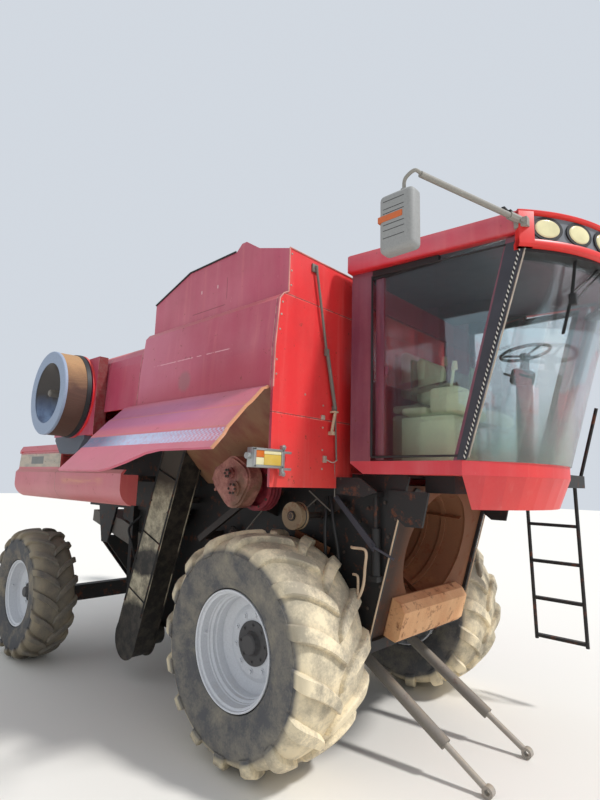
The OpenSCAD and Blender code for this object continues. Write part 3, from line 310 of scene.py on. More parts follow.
def bare_patch(paint, colour):
    """A worn round patch on the tank's side, where something was once fixed."""
    across = paint.height("X") - (axle_x - 0.62)
    up = paint.height() - 3.02
    patch = 1 - (paint.reach(across, up) + paint.noise(30, detail=5) * 0.04).step(0.09, 0.13)
    return paint.mix(patch * 0.5 * paint.side(), colour, tone(140, 104, 104))


def flank_sheen_and_highlight(paint, colour):
    """The tank's flank: a painted mauve sky reflection towards the rear, painted shade low down below the
    bend, and a painted highlight along the bend.
    """
    flank = paint.side().step(0.7, 0.9)
    along = paint.height("X") - axle_x
    soft = paint.noise(1.2, detail=5) * 0.8
    # Painted mauve sky reflection, stronger towards the rear.
    colour = paint.mix((1 - (along + soft).step(-1.2, 0.1)) * flank * 0.5, colour, tone(214, 140, 162))
    # Painted shade low down, below the bend.
    low = 1 - (paint.height() + soft * 0.3 - along * 0.12).step(3.10, 3.30)
    colour = paint.mix(low * flank * 0.55, colour, tone(170, 44, 66))
    # A painted highlight along the bend, broken up by noise.
    bend_highlight = band(paint, "X", axle_x - 1.15, axle_x - 0.02, 0.02) * band(paint, "Z", 3.221, 3.228, 0.003)
    broken = paint.noise(20, detail=3).step(0.42, 0.5)
    return paint.mix(bend_highlight * broken * flank * 0.7, colour, tone(240, 190, 196))


def access_panel(paint, colour):
    """A hatch in the extension's side shows as two thin rusty joints, with two pale hooks above."""
    flank = paint.side().step(0.7, 0.9)
    joint = band(paint, "X", axle_x - 0.243, axle_x - 0.237, 0.002) * band(paint, "Z", 3.74, 3.94, 0.01)
    sill = band(paint, "X", axle_x - 0.74, axle_x - 0.26, 0.01) * band(paint, "Z", 3.687, 3.693, 0.002)
    rear, front = (band(paint, "X", axle_x - x, axle_x - x + 0.01, 0.002) for x in (0.62, 0.38))
    hooks = (rear + front) * band(paint, "Z", 3.87, 3.90, 0.004)
    colour = paint.mix((joint + sill) * flank * 0.85, colour, tone(112, 40, 40))
    return paint.mix(hooks * flank * 0.8, colour, tone(236, 220, 216))


# %% Red paints
def headliner(paint, colour):
    """The cab's ceiling is grey cloth, not paint."""
    within = 1 - paint.height("Y").math("ABSOLUTE").step(0.90, 0.905)
    ceiling = (0 - paint.facing("Z")).step(0.5, 0.8) * within
    return paint.mix(ceiling, colour, tone(84, 100, 108))


# Each red gets a painted sunlit colour for the faces that look forward and a painted shade colour, with a
# mauve sky reflection, for the long sides.
tank_paint = red_paint("tank red", tone(226, 42, 44), tone(176, 56, 84),
                       marks=[flank_sheen_and_highlight, seams([("Z", 3.60), ("Z", 2.665), ("X", axle_x + 0.503)]),
                              bare_patch, under_the_tank])
extension_paint = red_paint("extension red", tone(226, 42, 44), tone(182, 70, 96), marks=[access_panel])
body_paint = red_paint("body red with painted light", tone(218, 38, 42), tone(178, 60, 90),
                       marks=[seams([("X", axle_x - 2.1), ("X", axle_x - 1.42)])])
cab_paint = red_paint("cab red", tone(222, 34, 38), tone(206, 44, 60), dusty=0.25, chips=0.68)
pillar_paint = red_paint("dark cab red", tone(124, 34, 50), tone(108, 52, 72), dusty=0.3)
roof_paint = red_paint("roof red", tone(214, 40, 48), tone(204, 56, 76), dusty=0.3, marks=[headliner])

# %% [markdown]
# ## Stripes
# The shields and the hood carry broad painted stripes. They are part of the paint, so they are masks in
# the same material: on the shield a band at a set distance from the hinge, so that it follows the panel
# as it swings, dark at the rear, pale in the middle, and broken into small checks near the front. On
# the hood it is a cream band at one height, with a green-grey field left bare.

# %% The shields' stripe
hinge_y, hinge_z = 1.7123, 2.85
CREASES = (0.25, 0.48)


def shield_stripe(paint, colour):
    """The checked stripe, with a painted mauve sky reflection above it, two creases and a rusty front edge.
    """
    reach = paint.reach(paint.height("Y").math("ABSOLUTE") - hinge_y, paint.height() - hinge_z)
    along = paint.height("X") - axle_x
    stripe = reach.step(0.492, 0.496) * (1 - reach.step(0.612, 0.616))
    grey = paint.mix(along.step(-1.25, -0.75), tone(104, 106, 134), tone(186, 196, 222))
    checks = paint.node("ShaderNodeTexChecker", {}, {"Vector": paint.place(), "Scale": 42.0}, output=1)
    broken = along.step(-0.50, 0.42)
    worn = paint.noise(24, detail=6, rough=0.7).step(0.40, 0.52)
    share = (1 - broken) + broken * (1 - checks * 0.9) * (1 - broken * 0.35)
    # A painted mauve sky reflection between the hinge and the stripe, fading out towards the front.
    sky_reflection = reach.step(0.03, 0.12) * (1 - reach.step(0.36, 0.42)) * (1 - along.step(-0.3, 0.3))
    colour = paint.mix(sky_reflection * 0.45, colour, tone(156, 98, 150))
    colour = paint.mix(stripe * share * (0.7 + worn * 0.3), colour, grey)
    for crease in CREASES:
        line = reach.step(crease - 0.012, crease - 0.002) * (1 - reach.step(crease + 0.002, crease + 0.010))
        colour = paint.mix(line * 0.6, colour, tone(196, 118, 96))
    edge = along.step(0.452, 0.478) + paint.noise(30, detail=5) * 0.3
    return paint.mix(edge.step(0.9, 1.1) * 0.85, colour, tone(206, 150, 108))


# %% The hood's stripe and the lower panels
def hood_stripe(paint, colour):
    """A cream band along the rear hood's side, with a bare field near its rear end."""
    side = paint.side().step(0.5, 0.8)
    stripe = band(paint, "Z", 2.262, 2.425) * side
    wear = paint.noise(5, detail=6, stretch=(1, 1, 3)).step(0.35, 0.6)
    cream = paint.mix(wear, tone(150, 152, 138), tone(182, 174, 154))
    field = band(paint, "X", axle_x - 4.02, axle_x - 3.62, 0.008) * band(paint, "Z", 2.30, 2.395)
    cream = paint.mix(field, cream, tone(88, 108, 104))
    return paint.mix(stripe * 0.9, colour, cream)


def dusty_belly(paint, colour):
    """A tan sweep of dust under the curve of the lower panels."""
    side = paint.side().step(0.3, 0.8)
    sweep = paint.noise(4, detail=5, stretch=(0.4, 1, 4)).step(0.35, 0.6)
    tan = band(paint, "Z", 2.075, 2.145, 0.02) * band(paint, "X", axle_x - 2.95, axle_x - 1.95, 0.06)
    return paint.mix(tan * side * sweep * 0.8, colour, tone(206, 142, 112))


# These also get a painted sunlit colour in front and a painted shade colour with a sky reflection at the
# sides.
shield_paint = red_paint("shield red", tone(206, 78, 92), tone(196, 92, 128), dusty=0.3, chips=0.64,
                         marks=[shield_stripe])
hood_paint = red_paint("hood red", tone(206, 70, 78), tone(190, 84, 100), dusty=0.5,
                       marks=[hood_stripe, seams([("X", axle_x - 3.14), ("Z", 2.435)])])
belly_paint = red_paint("lower panel red", tone(206, 74, 84), tone(192, 82, 104), dusty=0.5,
                        marks=[dusty_belly, seams([("X", axle_x - 3.12)])])
print("red paints:", len(bpy.data.materials) - materials_before)

# %% [markdown]
# ## Steel finishes
# The frame is black paint under oil and dust, the intake is bare steel gone to rust, and the
# elevators carry a dry grey film, with painted shade at their tops and a painted sky reflection on
# their long sides. One function makes all three from a base colour, the colour of what lies on it, and
# how much of it there is.

# %% Worn steel
def worn_steel(name, base, cover, share, rust=0.2, rough=0.6, marks=()):
    """Painted or bare steel: a base, a cover of dust or oil by a share, rust spots and dark grain."""
    steel = Finish(name, Roughness=rough)
    patches = steel.noise(2.2, detail=8, rough=0.65)
    streaks = steel.noise(5, detail=6, stretch=(2.5, 2.5, 0.3))
    grain = steel.noise(70, detail=6, rough=0.75)
    upward = steel.facing("Z").step(0.2, 0.9)
    film = (patches * 0.7 + streaks * 0.5 + upward * 0.35 + share - 0.85).step(0.0, 0.6)
    colour = steel.mix(film, base, cover)
    for mark in marks:
        colour = mark(steel, colour)
    spots = (steel.noise(9, detail=8, rough=0.7) + rust - 0.75).step(0.0, 0.1)
    colour = steel.mix(spots * 0.75, colour, RUST)
    colour = steel.mix((grain - 0.45).step(0, 0.4) * 0.25, colour, tone(24, 22, 20))
    steel.use("Base Color", colour)
    steel.use("Roughness", (rough + film * 0.25 + spots * 0.2).step(0, 1))
    steel.bump(patches * 0.3 + grain * 0.3 + spots * 0.4, 0.3, 0.004)
    return steel.material


# %% Marks on the intake, the elevators and the drives
LEAN = math.radians(15.77)
FRONT_FOOT = (0.750, 0, 0.945)


def stone_trap(steel, colour):
    """The trap stands proud of the leaning front and is scoured to pale orange; the face's edge is dark."""
    foot = at_axle(*FRONT_FOOT)
    proud = (steel.height("X") - foot.x) * math.cos(LEAN) - (steel.height() - foot.z) * math.sin(LEAN)
    runs = steel.noise(3, detail=6, stretch=(1.5, 1.5, 0.6)).step(0.30, 0.70)
    pale = steel.mix(runs, tone(214, 156, 108), tone(236, 188, 140))
    face = proud.step(-0.08, -0.07) * (1 - proud.step(-0.03, -0.02))
    edge = (0 - steel.height("Y")).step(0.40, 0.62) * face
    colour = steel.mix(edge * 0.8, colour, tone(34, 30, 28))
    return steel.mix(proud.step(-0.026, -0.016) * 0.9, colour, pale)


def elevator_bands(steel, colour):
    """Pale worn paint on the long side, partly a painted sky reflection, with a black band and painted shade
    towards the top, and near-black edges where the chain runs.
    """
    wave = steel.height() + steel.noise(4, detail=5) * 0.16 - 0.08
    worn = steel.noise(9, detail=7, rough=0.7).step(0.42, 0.6)
    pale = steel.mix(worn, tone(126, 118, 100), tone(186, 176, 150))
    dark = steel.mix(worn, tone(30, 28, 26), tone(66, 60, 52))
    # Painted shade towards the top, under the tank.
    pale = steel.mix(wave.step(1.98, 2.14), pale, tone(72, 62, 50))
    pale = steel.mix(wave.step(1.12, 1.16) * (1 - wave.step(1.36, 1.42)), pale, dark)
    pale = steel.mix(1 - wave.step(0.78, 0.86), pale, dark)
    # The long side's pale tone is worn paint with a painted sky reflection on it; the other faces stay dark.
    side = steel.side().step(0.6, 0.8)
    return steel.mix(side, dark, pale)


def drive_colours(steel, colour):
    """The gearcase is rusty pink, the sheave keeps its red, and the arms are black with grease."""
    out = steel.height("Y").math("ABSOLUTE")
    near = 1 - steel.reach(steel.height("X") - (axle_x - 0.17), steel.height() - 2.11).step(0.24, 0.25)
    worn = steel.noise(7, detail=8, rough=0.7).step(0.40, 0.60)
    case = steel.mix(worn, tone(122, 66, 62), tone(176, 122, 108))
    caked = steel.noise(4, detail=6).step(0.50, 0.62)
    case = steel.mix(caked * 0.7, case, tone(104, 80, 58))
    sheave = steel.mix(worn, tone(104, 20, 34), tone(146, 40, 52))
    colour = steel.mix(out.step(1.070, 1.080) * near, colour, sheave)
    return steel.mix(out.step(1.225, 1.235), colour, case)


def funnel_sky_reflection(steel, colour):
    """Inside the funnel: dusty brown above, and a painted pale blue sky reflection below."""
    up = steel.height() - middle("air_screen").z
    reflection_streaks = steel.noise(5, detail=5, stretch=(1, 3, 1)).step(0.35, 0.65)
    # A painted sky reflection in streaky pale blue on the lower part.
    low = 1 - (up + reflection_streaks * 0.06).step(-0.16, 0.04)
    return steel.mix(low * 0.8, colour, steel.mix(reflection_streaks, tone(84, 104, 140), tone(138, 164, 200)))


# %% Steel finishes
black_frame = worn_steel("dusty black frame", tone(26, 25, 25), tone(112, 98, 80), 0.02)
dark_core = worn_steel("dark core", tone(20, 19, 18), tone(70, 58, 46), -0.1, rust=0.22)
rusty_intake = worn_steel("rusted intake", tone(112, 70, 42), tone(158, 108, 66), 0.1, rust=0.2, rough=0.8,
                          marks=[stone_trap])
stack_rust = worn_steel("rusted stack", tone(112, 70, 42), tone(158, 108, 66), 0.1, rust=0.3, rough=0.8)
elevator_grey = worn_steel("worn elevator paint and painted light", tone(120, 112, 98), tone(170, 156, 128), 0.1, rust=-0.05,
                           marks=[elevator_bands])
drive_iron = worn_steel("greasy drive iron", tone(40, 32, 28), tone(92, 72, 56), 0.0, rust=0.15,
                        marks=[drive_colours])
dusty_grey = worn_steel("dusty grey steel", tone(112, 106, 98), tone(156, 140, 116), 0.12, rust=0.14)
red_iron = worn_steel("rusty red iron", tone(120, 44, 40), tone(140, 104, 84), 0.05, rust=0.2)
rim_paint = worn_steel("pale rim paint", tone(206, 208, 212), tone(190, 182, 168), -0.05, rust=0.0, rough=0.4)
cylinder_paint = worn_steel("cylinder grey", tone(124, 118, 110), tone(162, 144, 118), 0.1, rust=0.18)
rod_steel = worn_steel("dusty rod steel", tone(158, 150, 140), tone(176, 158, 128), 0.1, rust=0.1, rough=0.45)
mirror_grey = worn_steel("weathered mirror shell", tone(150, 150, 148), tone(186, 182, 172), 0.1, rust=-0.2)
ring_paint = worn_steel("blue-grey screen ring", tone(146, 160, 182), tone(168, 168, 172), 0.0, rust=0.0)
funnel_paint = worn_steel("dark funnel", tone(58, 52, 50), tone(112, 98, 88), 0.1, rust=0.05, rough=0.4,
                          marks=[funnel_sky_reflection])
slate_deck = worn_steel("slate duct foot", tone(84, 90, 102), tone(126, 126, 130), 0.05, rust=0.0)
arm_grey = worn_steel("grey mirror arm", tone(146, 142, 134), tone(176, 162, 136), 0.05, rust=0.1)
strap_steel = worn_steel("slate strap steel", tone(62, 60, 68), tone(118, 112, 112), 0.05, rust=0.1)
greasy_iron = worn_steel("greasy bolts", tone(66, 56, 50), tone(128, 104, 84), 0.05, rust=0.2)
cream_iron = worn_steel("tan idler", tone(132, 112, 86), tone(178, 158, 124), 0.1, rust=0.2)
hub_iron = worn_steel("dark hub iron", tone(70, 68, 68), tone(120, 108, 92), -0.05, rust=0.1)
print("paints and steels:", len(bpy.data.materials) - materials_before)

# %% [markdown]
# ## Glass and rubber
# The panes are tinted green and wear a dry film that is thick near the floor, so the same noise drives
# the colour, the roughness and the alpha. A field tyre is dark on its casing and the colour of dry soil
# on its lugs. The distance from the wheel's middle tells the two apart, wherever the wheel stands.

# %% Dusty glass
def dusty_glass():
    """A painted sea-blue sky reflection from the front, painted shade at the side, with a green film low
    down.
    """
    glass = Finish("dusty green glass", Roughness=0.05, IOR=1.45, Transmission_Weight=1.0)
    wipes = glass.noise(2.5, detail=8, rough=0.6, stretch=(1, 1, 0.4))
    streaks = glass.noise(14, detail=5, rough=0.6, stretch=(1, 1, 0.08))
    low = 1 - glass.height().step(2.34, 2.9)
    shade_side = glass.side().step(0.9, 0.98)
    film = (wipes * 0.45 + streaks * 0.2 + low * 0.5 - 0.25).step(0, 0.9)
    # The clear glass is painted with a sky reflection: pale blue from the front, and darker, as painted
    # shade, at the side.
    clear = glass.mix(shade_side, tone(206, 242, 248), tone(190, 222, 232))
    clear = glass.mix(low * (1 - shade_side) * 0.8, clear, tone(158, 200, 166))
    glass.use("Base Color", glass.mix(film * 0.5, clear, tone(206, 214, 196)))
    glass.use("Roughness", (film * 0.35 + 0.02).step(0, 1))
    glass.use("Alpha", (film * 0.3 + low * 0.25 * (1 - shade_side) + 0.3).step(0, 1))
    return glass.material


cab_glass = dusty_glass()


# %% Rubber
def rubber(name, node, casing, tread, dust, dusty=0.0):
    """Dark casing, dusty tread: the finish changes with the distance from the wheel's middle."""
    centre = middle(node)
    tyre = Finish(name, Roughness=0.85)
    radius = tyre.reach(tyre.height("X") - centre.x, tyre.height() - centre.z)
    patches = tyre.noise(5, detail=8, rough=0.65)
    smears = tyre.noise(1.7, detail=5, rough=0.6)
    fine = tyre.noise(60, detail=6, rough=0.7)
    on_tread = (radius + patches * 0.03).step(centre.z * 0.845, centre.z * 0.885)
    film = (patches * 0.9 + fine * 0.35 + smears * 0.4 - 0.72 + dusty).step(0, 0.45)
    side = tyre.mix(film * 0.75, casing, dust)
    worn = (patches * 0.8 + smears * 0.9 + fine * 0.3 - 0.91).step(0, 0.22)
    top = tyre.mix(worn * 0.62, tread, casing)
    colour = tyre.mix(on_tread, side, top)
    low = 1 - radius.step(centre.z * 0.93, centre.z * 0.965)
    colour = tyre.mix(low * on_tread * 0.3, colour, dust)
    ring = radius.step(centre.z * 0.50, centre.z * 0.515)
    colour = tyre.mix(1 - ring, colour, tone(30, 29, 28))
    tyre.use("Base Color", colour)
    tyre.bump(patches * 0.5 + fine * 0.5, 0.45, 0.006)
    return tyre.material


TYRES = {
    "drive": rubber("drive tyre rubber", "drive_tyre_right", tone(84, 84, 86), tone(236, 220, 186),
                    tone(168, 158, 136)),
    "steer": rubber("steer tyre rubber", "steer_tyre_right", tone(78, 78, 80), tone(128, 120, 106),
                    tone(176, 160, 128), dusty=-0.05),
}

# %% [markdown]
# ## Plastic, cloth and wire
# Small parts are moulded plastic, cloth or bright metal. They need two tones and a fine grain, because
# no real part is one flat colour. The drum's wire mesh is far finer than a mesh could follow, so it is
# a grid of cells in the shading, and the cord on the pillars is a wave of two colours.

# %% Plastic, cloth, wire and cord
def plain(name, colour, rough=0.5, grain=0.2, metallic=0.0):
    """A simple finish in two close tones, with a fine grain."""
    finish = Finish(name, Roughness=rough, Metallic=metallic)
    patches = finish.noise(7, detail=6)
    darker = tuple(c * (1 - grain) for c in colour[:3]) + (1,)
    finish.use("Base Color", finish.mix(patches.step(0.3, 0.7), darker, colour))
    finish.bump(finish.noise(120, detail=3), 0.15, 0.001)
    return finish.material


def mesh_screen(name, shade, sunlit):
    """Woven wire under dust: a fine grid in the relief, pale where the sun reaches it."""
    screen = Finish(name, Roughness=0.8)
    patches = screen.noise(4, detail=7, rough=0.65)
    lit = (screen.facing("Z") * 0.8 + patches * 0.7).step(0.35, 0.95)
    grid = screen.node("ShaderNodeTexVoronoi", {"feature": "DISTANCE_TO_EDGE"},
                       {"Vector": screen.place(), "Scale": 150.0, "Randomness": 0.15})
    wires = 1 - grid.step(0.08, 0.22)
    colour = screen.mix(lit, shade, sunlit)
    screen.use("Base Color", screen.mix(wires * 0.45, screen.mix(0.45, colour, tone(36, 26, 20)), colour))
    screen.bump(wires + patches * 0.5, 0.4, 0.002)
    return screen.material


def braided(name, dark, light):
    """A cord woven from two colours, in short slanted checks."""
    cord = Finish(name, Roughness=0.8)
    wave = cord.height() * 20 + cord.height("X") * 42
    cord.use("Base Color", cord.mix((wave.math("FRACT") - 0.58).step(-0.05, 0.05), dark, light))
    return cord.material


# %% Small finishes
seat_cloth = plain("worn seat cloth", tone(206, 208, 172), 0.9)
cab_plastic = plain("black cab plastic", tone(34, 34, 35), 0.55)
lens = plain("cream lens", tone(238, 228, 180), 0.2)
chrome = plain("rod chrome", tone(196, 196, 198), 0.25, metallic=1.0)
dull_chrome = plain("dull chrome", tone(178, 180, 178), 0.35, metallic=0.7)
orange_lens = plain("orange lens", tone(214, 112, 40), 0.2)
yellow_lens = plain("yellow lens", tone(222, 186, 84), 0.2)
orange_band = plain("orange reflector band", tone(206, 104, 52), 0.45)
visor_paint = plain("red visor plastic", tone(226, 44, 38), 0.4, grain=0.12)
band_grey = plain("grey lamp band", tone(118, 122, 128), 0.6)
dark_line = plain("dark groove", tone(64, 64, 66), 0.8)
slate_cover = plain("slate pillar cover", tone(58, 58, 66), 0.5, grain=0.35)
grey_plastic = plain("sun-greyed plastic", tone(58, 62, 60), 0.6)
pale_panel = plain("pale console", tone(232, 234, 190), 0.6)
tan_vinyl = plain("brown seat frame", tone(110, 84, 72), 0.7, grain=0.35)
bone = plain("bone-coloured tube", tone(206, 180, 150), 0.6, grain=0.3)
pale_zinc = plain("pale zinc", tone(196, 180, 164), 0.45, grain=0.4)
worn_edge = plain("chipped paint edge", tone(224, 150, 140), 0.6, grain=0.5)
braid = braided("black and white cord", tone(24, 24, 26), tone(210, 206, 196))
drum_mesh = mesh_screen("dusty screen wire", tone(104, 74, 62), tone(206, 160, 112))
print("finishes of the machine:", len(bpy.data.materials) - materials_before)

# %% [markdown]
# ## Dressing the solids
# Solids whose shape is right stay as they are and only get a finish. The table names every solid, also
# those that a detailed piece replaces later.

# %% Finishes of the solids
FINISH_OF = {
    tank_paint: ["grain_tank"],
    extension_paint: ["tank_extension"],
    body_paint: ["engine_hood", "screen_housing", "auger_turret", "auger"],
    hood_paint: ["rear_hood"],
    belly_paint: ["rear_side_panels"],
    shield_paint: ["side_shield_right", "side_shield_left"],
    cab_paint: ["cab_floor"],
    roof_paint: ["cab_roof"],
    pillar_paint: ["cab_frame"],
    black_frame: ["main_frame", "drive_axle", "front_brackets", "steer_axle",
                  "platform", "knuckle_right", "knuckle_left", "tie_rod"],
    dark_core: ["rotor_housing"],
    slate_deck: ["engine_deck"],
    rusty_intake: ["intake_cone"],
    stack_rust: ["exhaust_stack"],
    elevator_grey: ["elevators"],
    dusty_grey: ["cleaning_gear"],
    drive_iron: ["side_drives"],
    red_iron: ["engine"],
    rim_paint: ["drive_rim_right", "drive_rim_left", "steer_rim_right", "steer_rim_left"],
    TYRES["drive"]: ["drive_tyre_right", "drive_tyre_left"],
    TYRES["steer"]: ["steer_tyre_right", "steer_tyre_left"],
    cylinder_paint: ["lift_barrel_right", "lift_barrel_left"],
    rod_steel: ["lift_rod_right", "lift_rod_left"],
    mirror_grey: ["mirrors"],
    drum_mesh: ["air_screen"],
    cab_glass: ["cab_glass", "door_glass"],
    seat_cloth: ["seat"],
    cab_plastic: ["steering_column", "cab_door"],
    lens: ["lamps"],
}
for finish, names in FINISH_OF.items():
    for name in names:
        nodes[name].data.materials.clear()
        nodes[name].data.materials.append(finish)
print("dressed", sum(len(names) for names in FINISH_OF.values()), "of", len(nodes))

# %% [markdown]
# ## A small workshop
# Every new piece starts as an empty bmesh and is filled by a few shop operations: a block with broken
# edges, a rod, a bent pipe, a turned part, a cut sheet and rows of bolts. Blender's own operators do
# the work, so the code says what a fitter would say. A place is three numbers from the drive axle, as
# on a drawing, or a Vector that is in the machine's frame already. When a piece is done it gets its
# finish and rides on a body of the machine, for most pieces the chassis.

# %% Places and turns
SIDES = (("right", -1), ("left", 1))
FORWARD = Vector((1, 0, 0))
RIGHT = Vector((0, -1, 0))


def spot(place):
    """Three numbers are counted from the drive axle; a Vector stays as it is."""
    return place if isinstance(place, Vector) else at_axle(*place)


def turned_by(degrees, axis):
    """A turn about one of the machine's axes."""
    return Matrix.Rotation(math.radians(degrees), 4, axis)


def upright(y):
    """The plane of a sheet that stands along the machine, measured from the drive axle."""
    return Matrix.Translation(at_axle(0, y, 0)) @ turned_by(90, "X")


def around(centre, radius, count, first=0.0):
    """Places spread evenly on a circle that faces sideways."""
    angles = [math.tau * (index + first) / count for index in range(count)]
    return [spot(centre) + Vector((math.cos(angle), 0, math.sin(angle))) * radius for angle in angles]


def only(items, kind):
    """The vertices, edges or faces among what an operator made."""
    return [item for item in items if isinstance(item, kind)]


# %% The workshop
class Work:
    """One piece under construction."""

    def __init__(self):
        self.bm = bmesh.new()

    def soften(self, verts, width, segments=2):
        """Breaks the sharp edges between some vertices."""
        edges = {edge for vert in verts for edge in vert.link_edges
                 if len(edge.link_faces) == 2 and edge.calc_face_angle(0) > math.radians(30)}
        bmesh.ops.bevel(self.bm, geom=list(edges), offset=width, offset_type="OFFSET", affect="EDGES",
                        segments=segments, profile=0.5, material=-1, clamp_overlap=True)

    def block(self, corner, opposite, soft=0.0, turn=None, segments=2):
        """A block between two opposite corners. A turn rotates it about its middle."""
        corner, opposite = spot(corner), spot(opposite)
        extent = [abs(one - other) for one, other in zip(corner, opposite)]
        place = Matrix.Translation((corner + opposite) / 2) @ (turn or Matrix())
        verts = bmesh.ops.create_cube(self.bm, size=1, matrix=place @ Matrix.Diagonal((*extent, 1)))["verts"]
        if soft:
            self.soften(verts, soft, segments)

    def rod(self, start, end, radius, tip=None, sides=16):
        """A round bar, or a cone when the tip's radius differs."""
        start, end = spot(start), spot(end)
        turn = (end - start).to_track_quat("Z", "Y").to_matrix().to_4x4()
        bmesh.ops.create_cone(self.bm, cap_ends=True, segments=sides, radius1=radius,
                              radius2=radius if tip is None else tip, depth=(end - start).length,
                              matrix=Matrix.Translation((start + end) / 2) @ turn)

    def pipe(self, points, radius, sides=10):
        """A pipe or hose along some points: a disc drawn out station by station."""
        points = [spot(point) for point in points]
        along = (points[1] - points[0]).normalized()
        place = Matrix.Translation(points[0]) @ along.to_track_quat("Z", "Y").to_matrix().to_4x4()
        ring = bmesh.ops.create_circle(self.bm, cap_ends=True, segments=sides, radius=radius,
                                       matrix=place)["verts"]
        edges = list({edge for vert in ring for edge in vert.link_edges})
        for index in range(1, len(points)):
            made = bmesh.ops.extrude_edge_only(self.bm, edges=edges)["geom"]
            ring = only(made, bmesh.types.BMVert)
            edges = [edge for edge in only(made, bmesh.types.BMEdge)
                     if all(vert in ring for vert in edge.verts)]
            came = (points[index] - points[index - 1]).normalized()
            goes = (points[min(index + 1, len(points) - 1)] - points[index]).normalized() or came
            bmesh.ops.translate(self.bm, verts=ring, vec=points[index] - points[index - 1])
            heading = (came + goes).normalized()
            bmesh.ops.rotate(self.bm, verts=ring, cent=points[index],
                             matrix=along.rotation_difference(heading).to_matrix())
            along = heading
        bmesh.ops.contextual_create(self.bm, geom=edges)

    def turned(self, profile, centre, steps=64, closed=True):
        """A part turned about a line along Y. The profile lists places along it with their radius."""
        centre = spot(centre)
        verts = [self.bm.verts.new(centre + Vector((0, place, radius))) for place, radius in profile]
        pairs = list(zip(verts, verts[1:])) + ([(verts[-1], verts[0])] if closed else [])
        edges = [self.bm.edges.new(pair) for pair in pairs]
        bmesh.ops.spin(self.bm, geom=verts + edges, cent=centre, axis=(0, 1, 0), angle=math.tau, steps=steps,
                       use_merge=True)

    def cut_sheet(self, outline, thick, place):
        """A flat outline, cut out of sheet. The place turns its plane into the machine's frame."""
        verts = [self.bm.verts.new(place @ Vector((u, v, 0))) for u, v in outline]
        face = self.bm.faces.new(verts)
        made = bmesh.ops.extrude_face_region(self.bm, geom=[face])["geom"]
        bmesh.ops.translate(self.bm, verts=only(made, bmesh.types.BMVert),
                            vec=place.to_3x3() @ Vector((0, 0, thick)))

    def bolts(self, places, facing, across=0.02):
        """Hexagon heads on washers."""
        out = Vector(facing).normalized() * across
        for place in places:
            place = spot(place)
            self.rod(place - out * 0.3, place + out * 0.12, across * 0.85, sides=12)
            self.rod(place, place + out * 0.55, across * 0.52, sides=6)

    def done(self, name, material, body="chassis", replaces=(), smooth=35):
        """Closes the piece, gives it its finish and lets it ride on a body."""
        bmesh.ops.remove_doubles(self.bm, verts=self.bm.verts, dist=1e-5)
        bmesh.ops.recalc_face_normals(self.bm, faces=self.bm.faces)
        mesh = bpy.data.meshes.new(name)
        self.bm.to_mesh(mesh)
        self.bm.free()
        mesh.shade_smooth()
        mesh.set_sharp_from_angle(angle=math.radians(smooth))
        mesh.materials.append(material)
        piece = bpy.data.objects.new(name, mesh)
        bpy.context.scene.collection.objects.link(piece)
        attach(piece, body)
        if replaces:
            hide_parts(*replaces)
        print(name, len(mesh.polygons), "faces")
        return piece


# %% Reading a table, and a smooth path
def between(value, table):
    """Reads a table of pairs, with straight lines between them."""
    for (x0, y0), (x1, y1) in zip(table, table[1:]):
        if value <= x1:
            return y0 + (y1 - y0) * max(0.0, (value - x0) / (x1 - x0))
    return table[-1][1]


def rounded(points, steps=6):
    """A smooth path through some points."""
    points = [spot(point) for point in points]
    ends = [points[0] * 2 - points[1]] + points + [points[-1] * 2 - points[-2]]
    path = [points[0]]
    for a, b, c, d in zip(ends, ends[1:], ends[2:], ends[3:]):
        for step in range(1, steps + 1):
            t = step / steps
            path.append(0.5 * (2 * b + (c - a) * t + (2 * a - 5 * b + 4 * c - d) * t * t
                               + (3 * b - a - 3 * c + d) * t * t * t))
    return path


# %% [markdown]
# ## Tyres
# A field tyre is a soft round casing with thick rubber bars vulcanised on it. The bars start as a
# buttress low on the shoulder, cross the tread in a curve and end in a nose just past the middle; the
# noses of the two sides take turns. The casing is turned on a lathe with `spin`. One bar is cut flat
# from a grid, given its height and soft edges, and then wrapped onto the casing, once per place. That
# keeps the wear, the curve and the draught of the bar in a few numbers.

# %% Tyre section
def casing_section(half, crown, bead):
    """Half a section: distance from the middle and radius, from crown to bead."""
    rough = [(0, 1.0), (0.28, 0.996), (0.56, 0.972), (0.78, 0.915), (0.90, 0.83), (0.965, 0.72),
             (0.972, 0.70), (0.985, 0.70), (0.99, 0.68), (0.992, 0.62), (1.0, 0.50), (0.985, 0.36),
             (0.93, 0.22), (0.90, 0.17), (0.905, 0.12), (0.885, 0.09), (0.85, 0.02)]
    return [(half * out, bead + (crown - bead) * up) for out, up in rough]


def along_section(section):
    """The same section as a table of its length, with places and outward directions."""
    rows = [(0.0, *section[0], 0.0, 1.0)]
    length = 0.0
    for index in range(1, len(section)):
        before, here, after = section[index - 1], section[index], section[min(index + 1, len(section) - 1)]
        length += math.dist(before, here)
        slope = Vector((after[0] - before[0], after[1] - before[1])).normalized()
        rows.append((length, *here, -slope.y, slope.x))
    return rows


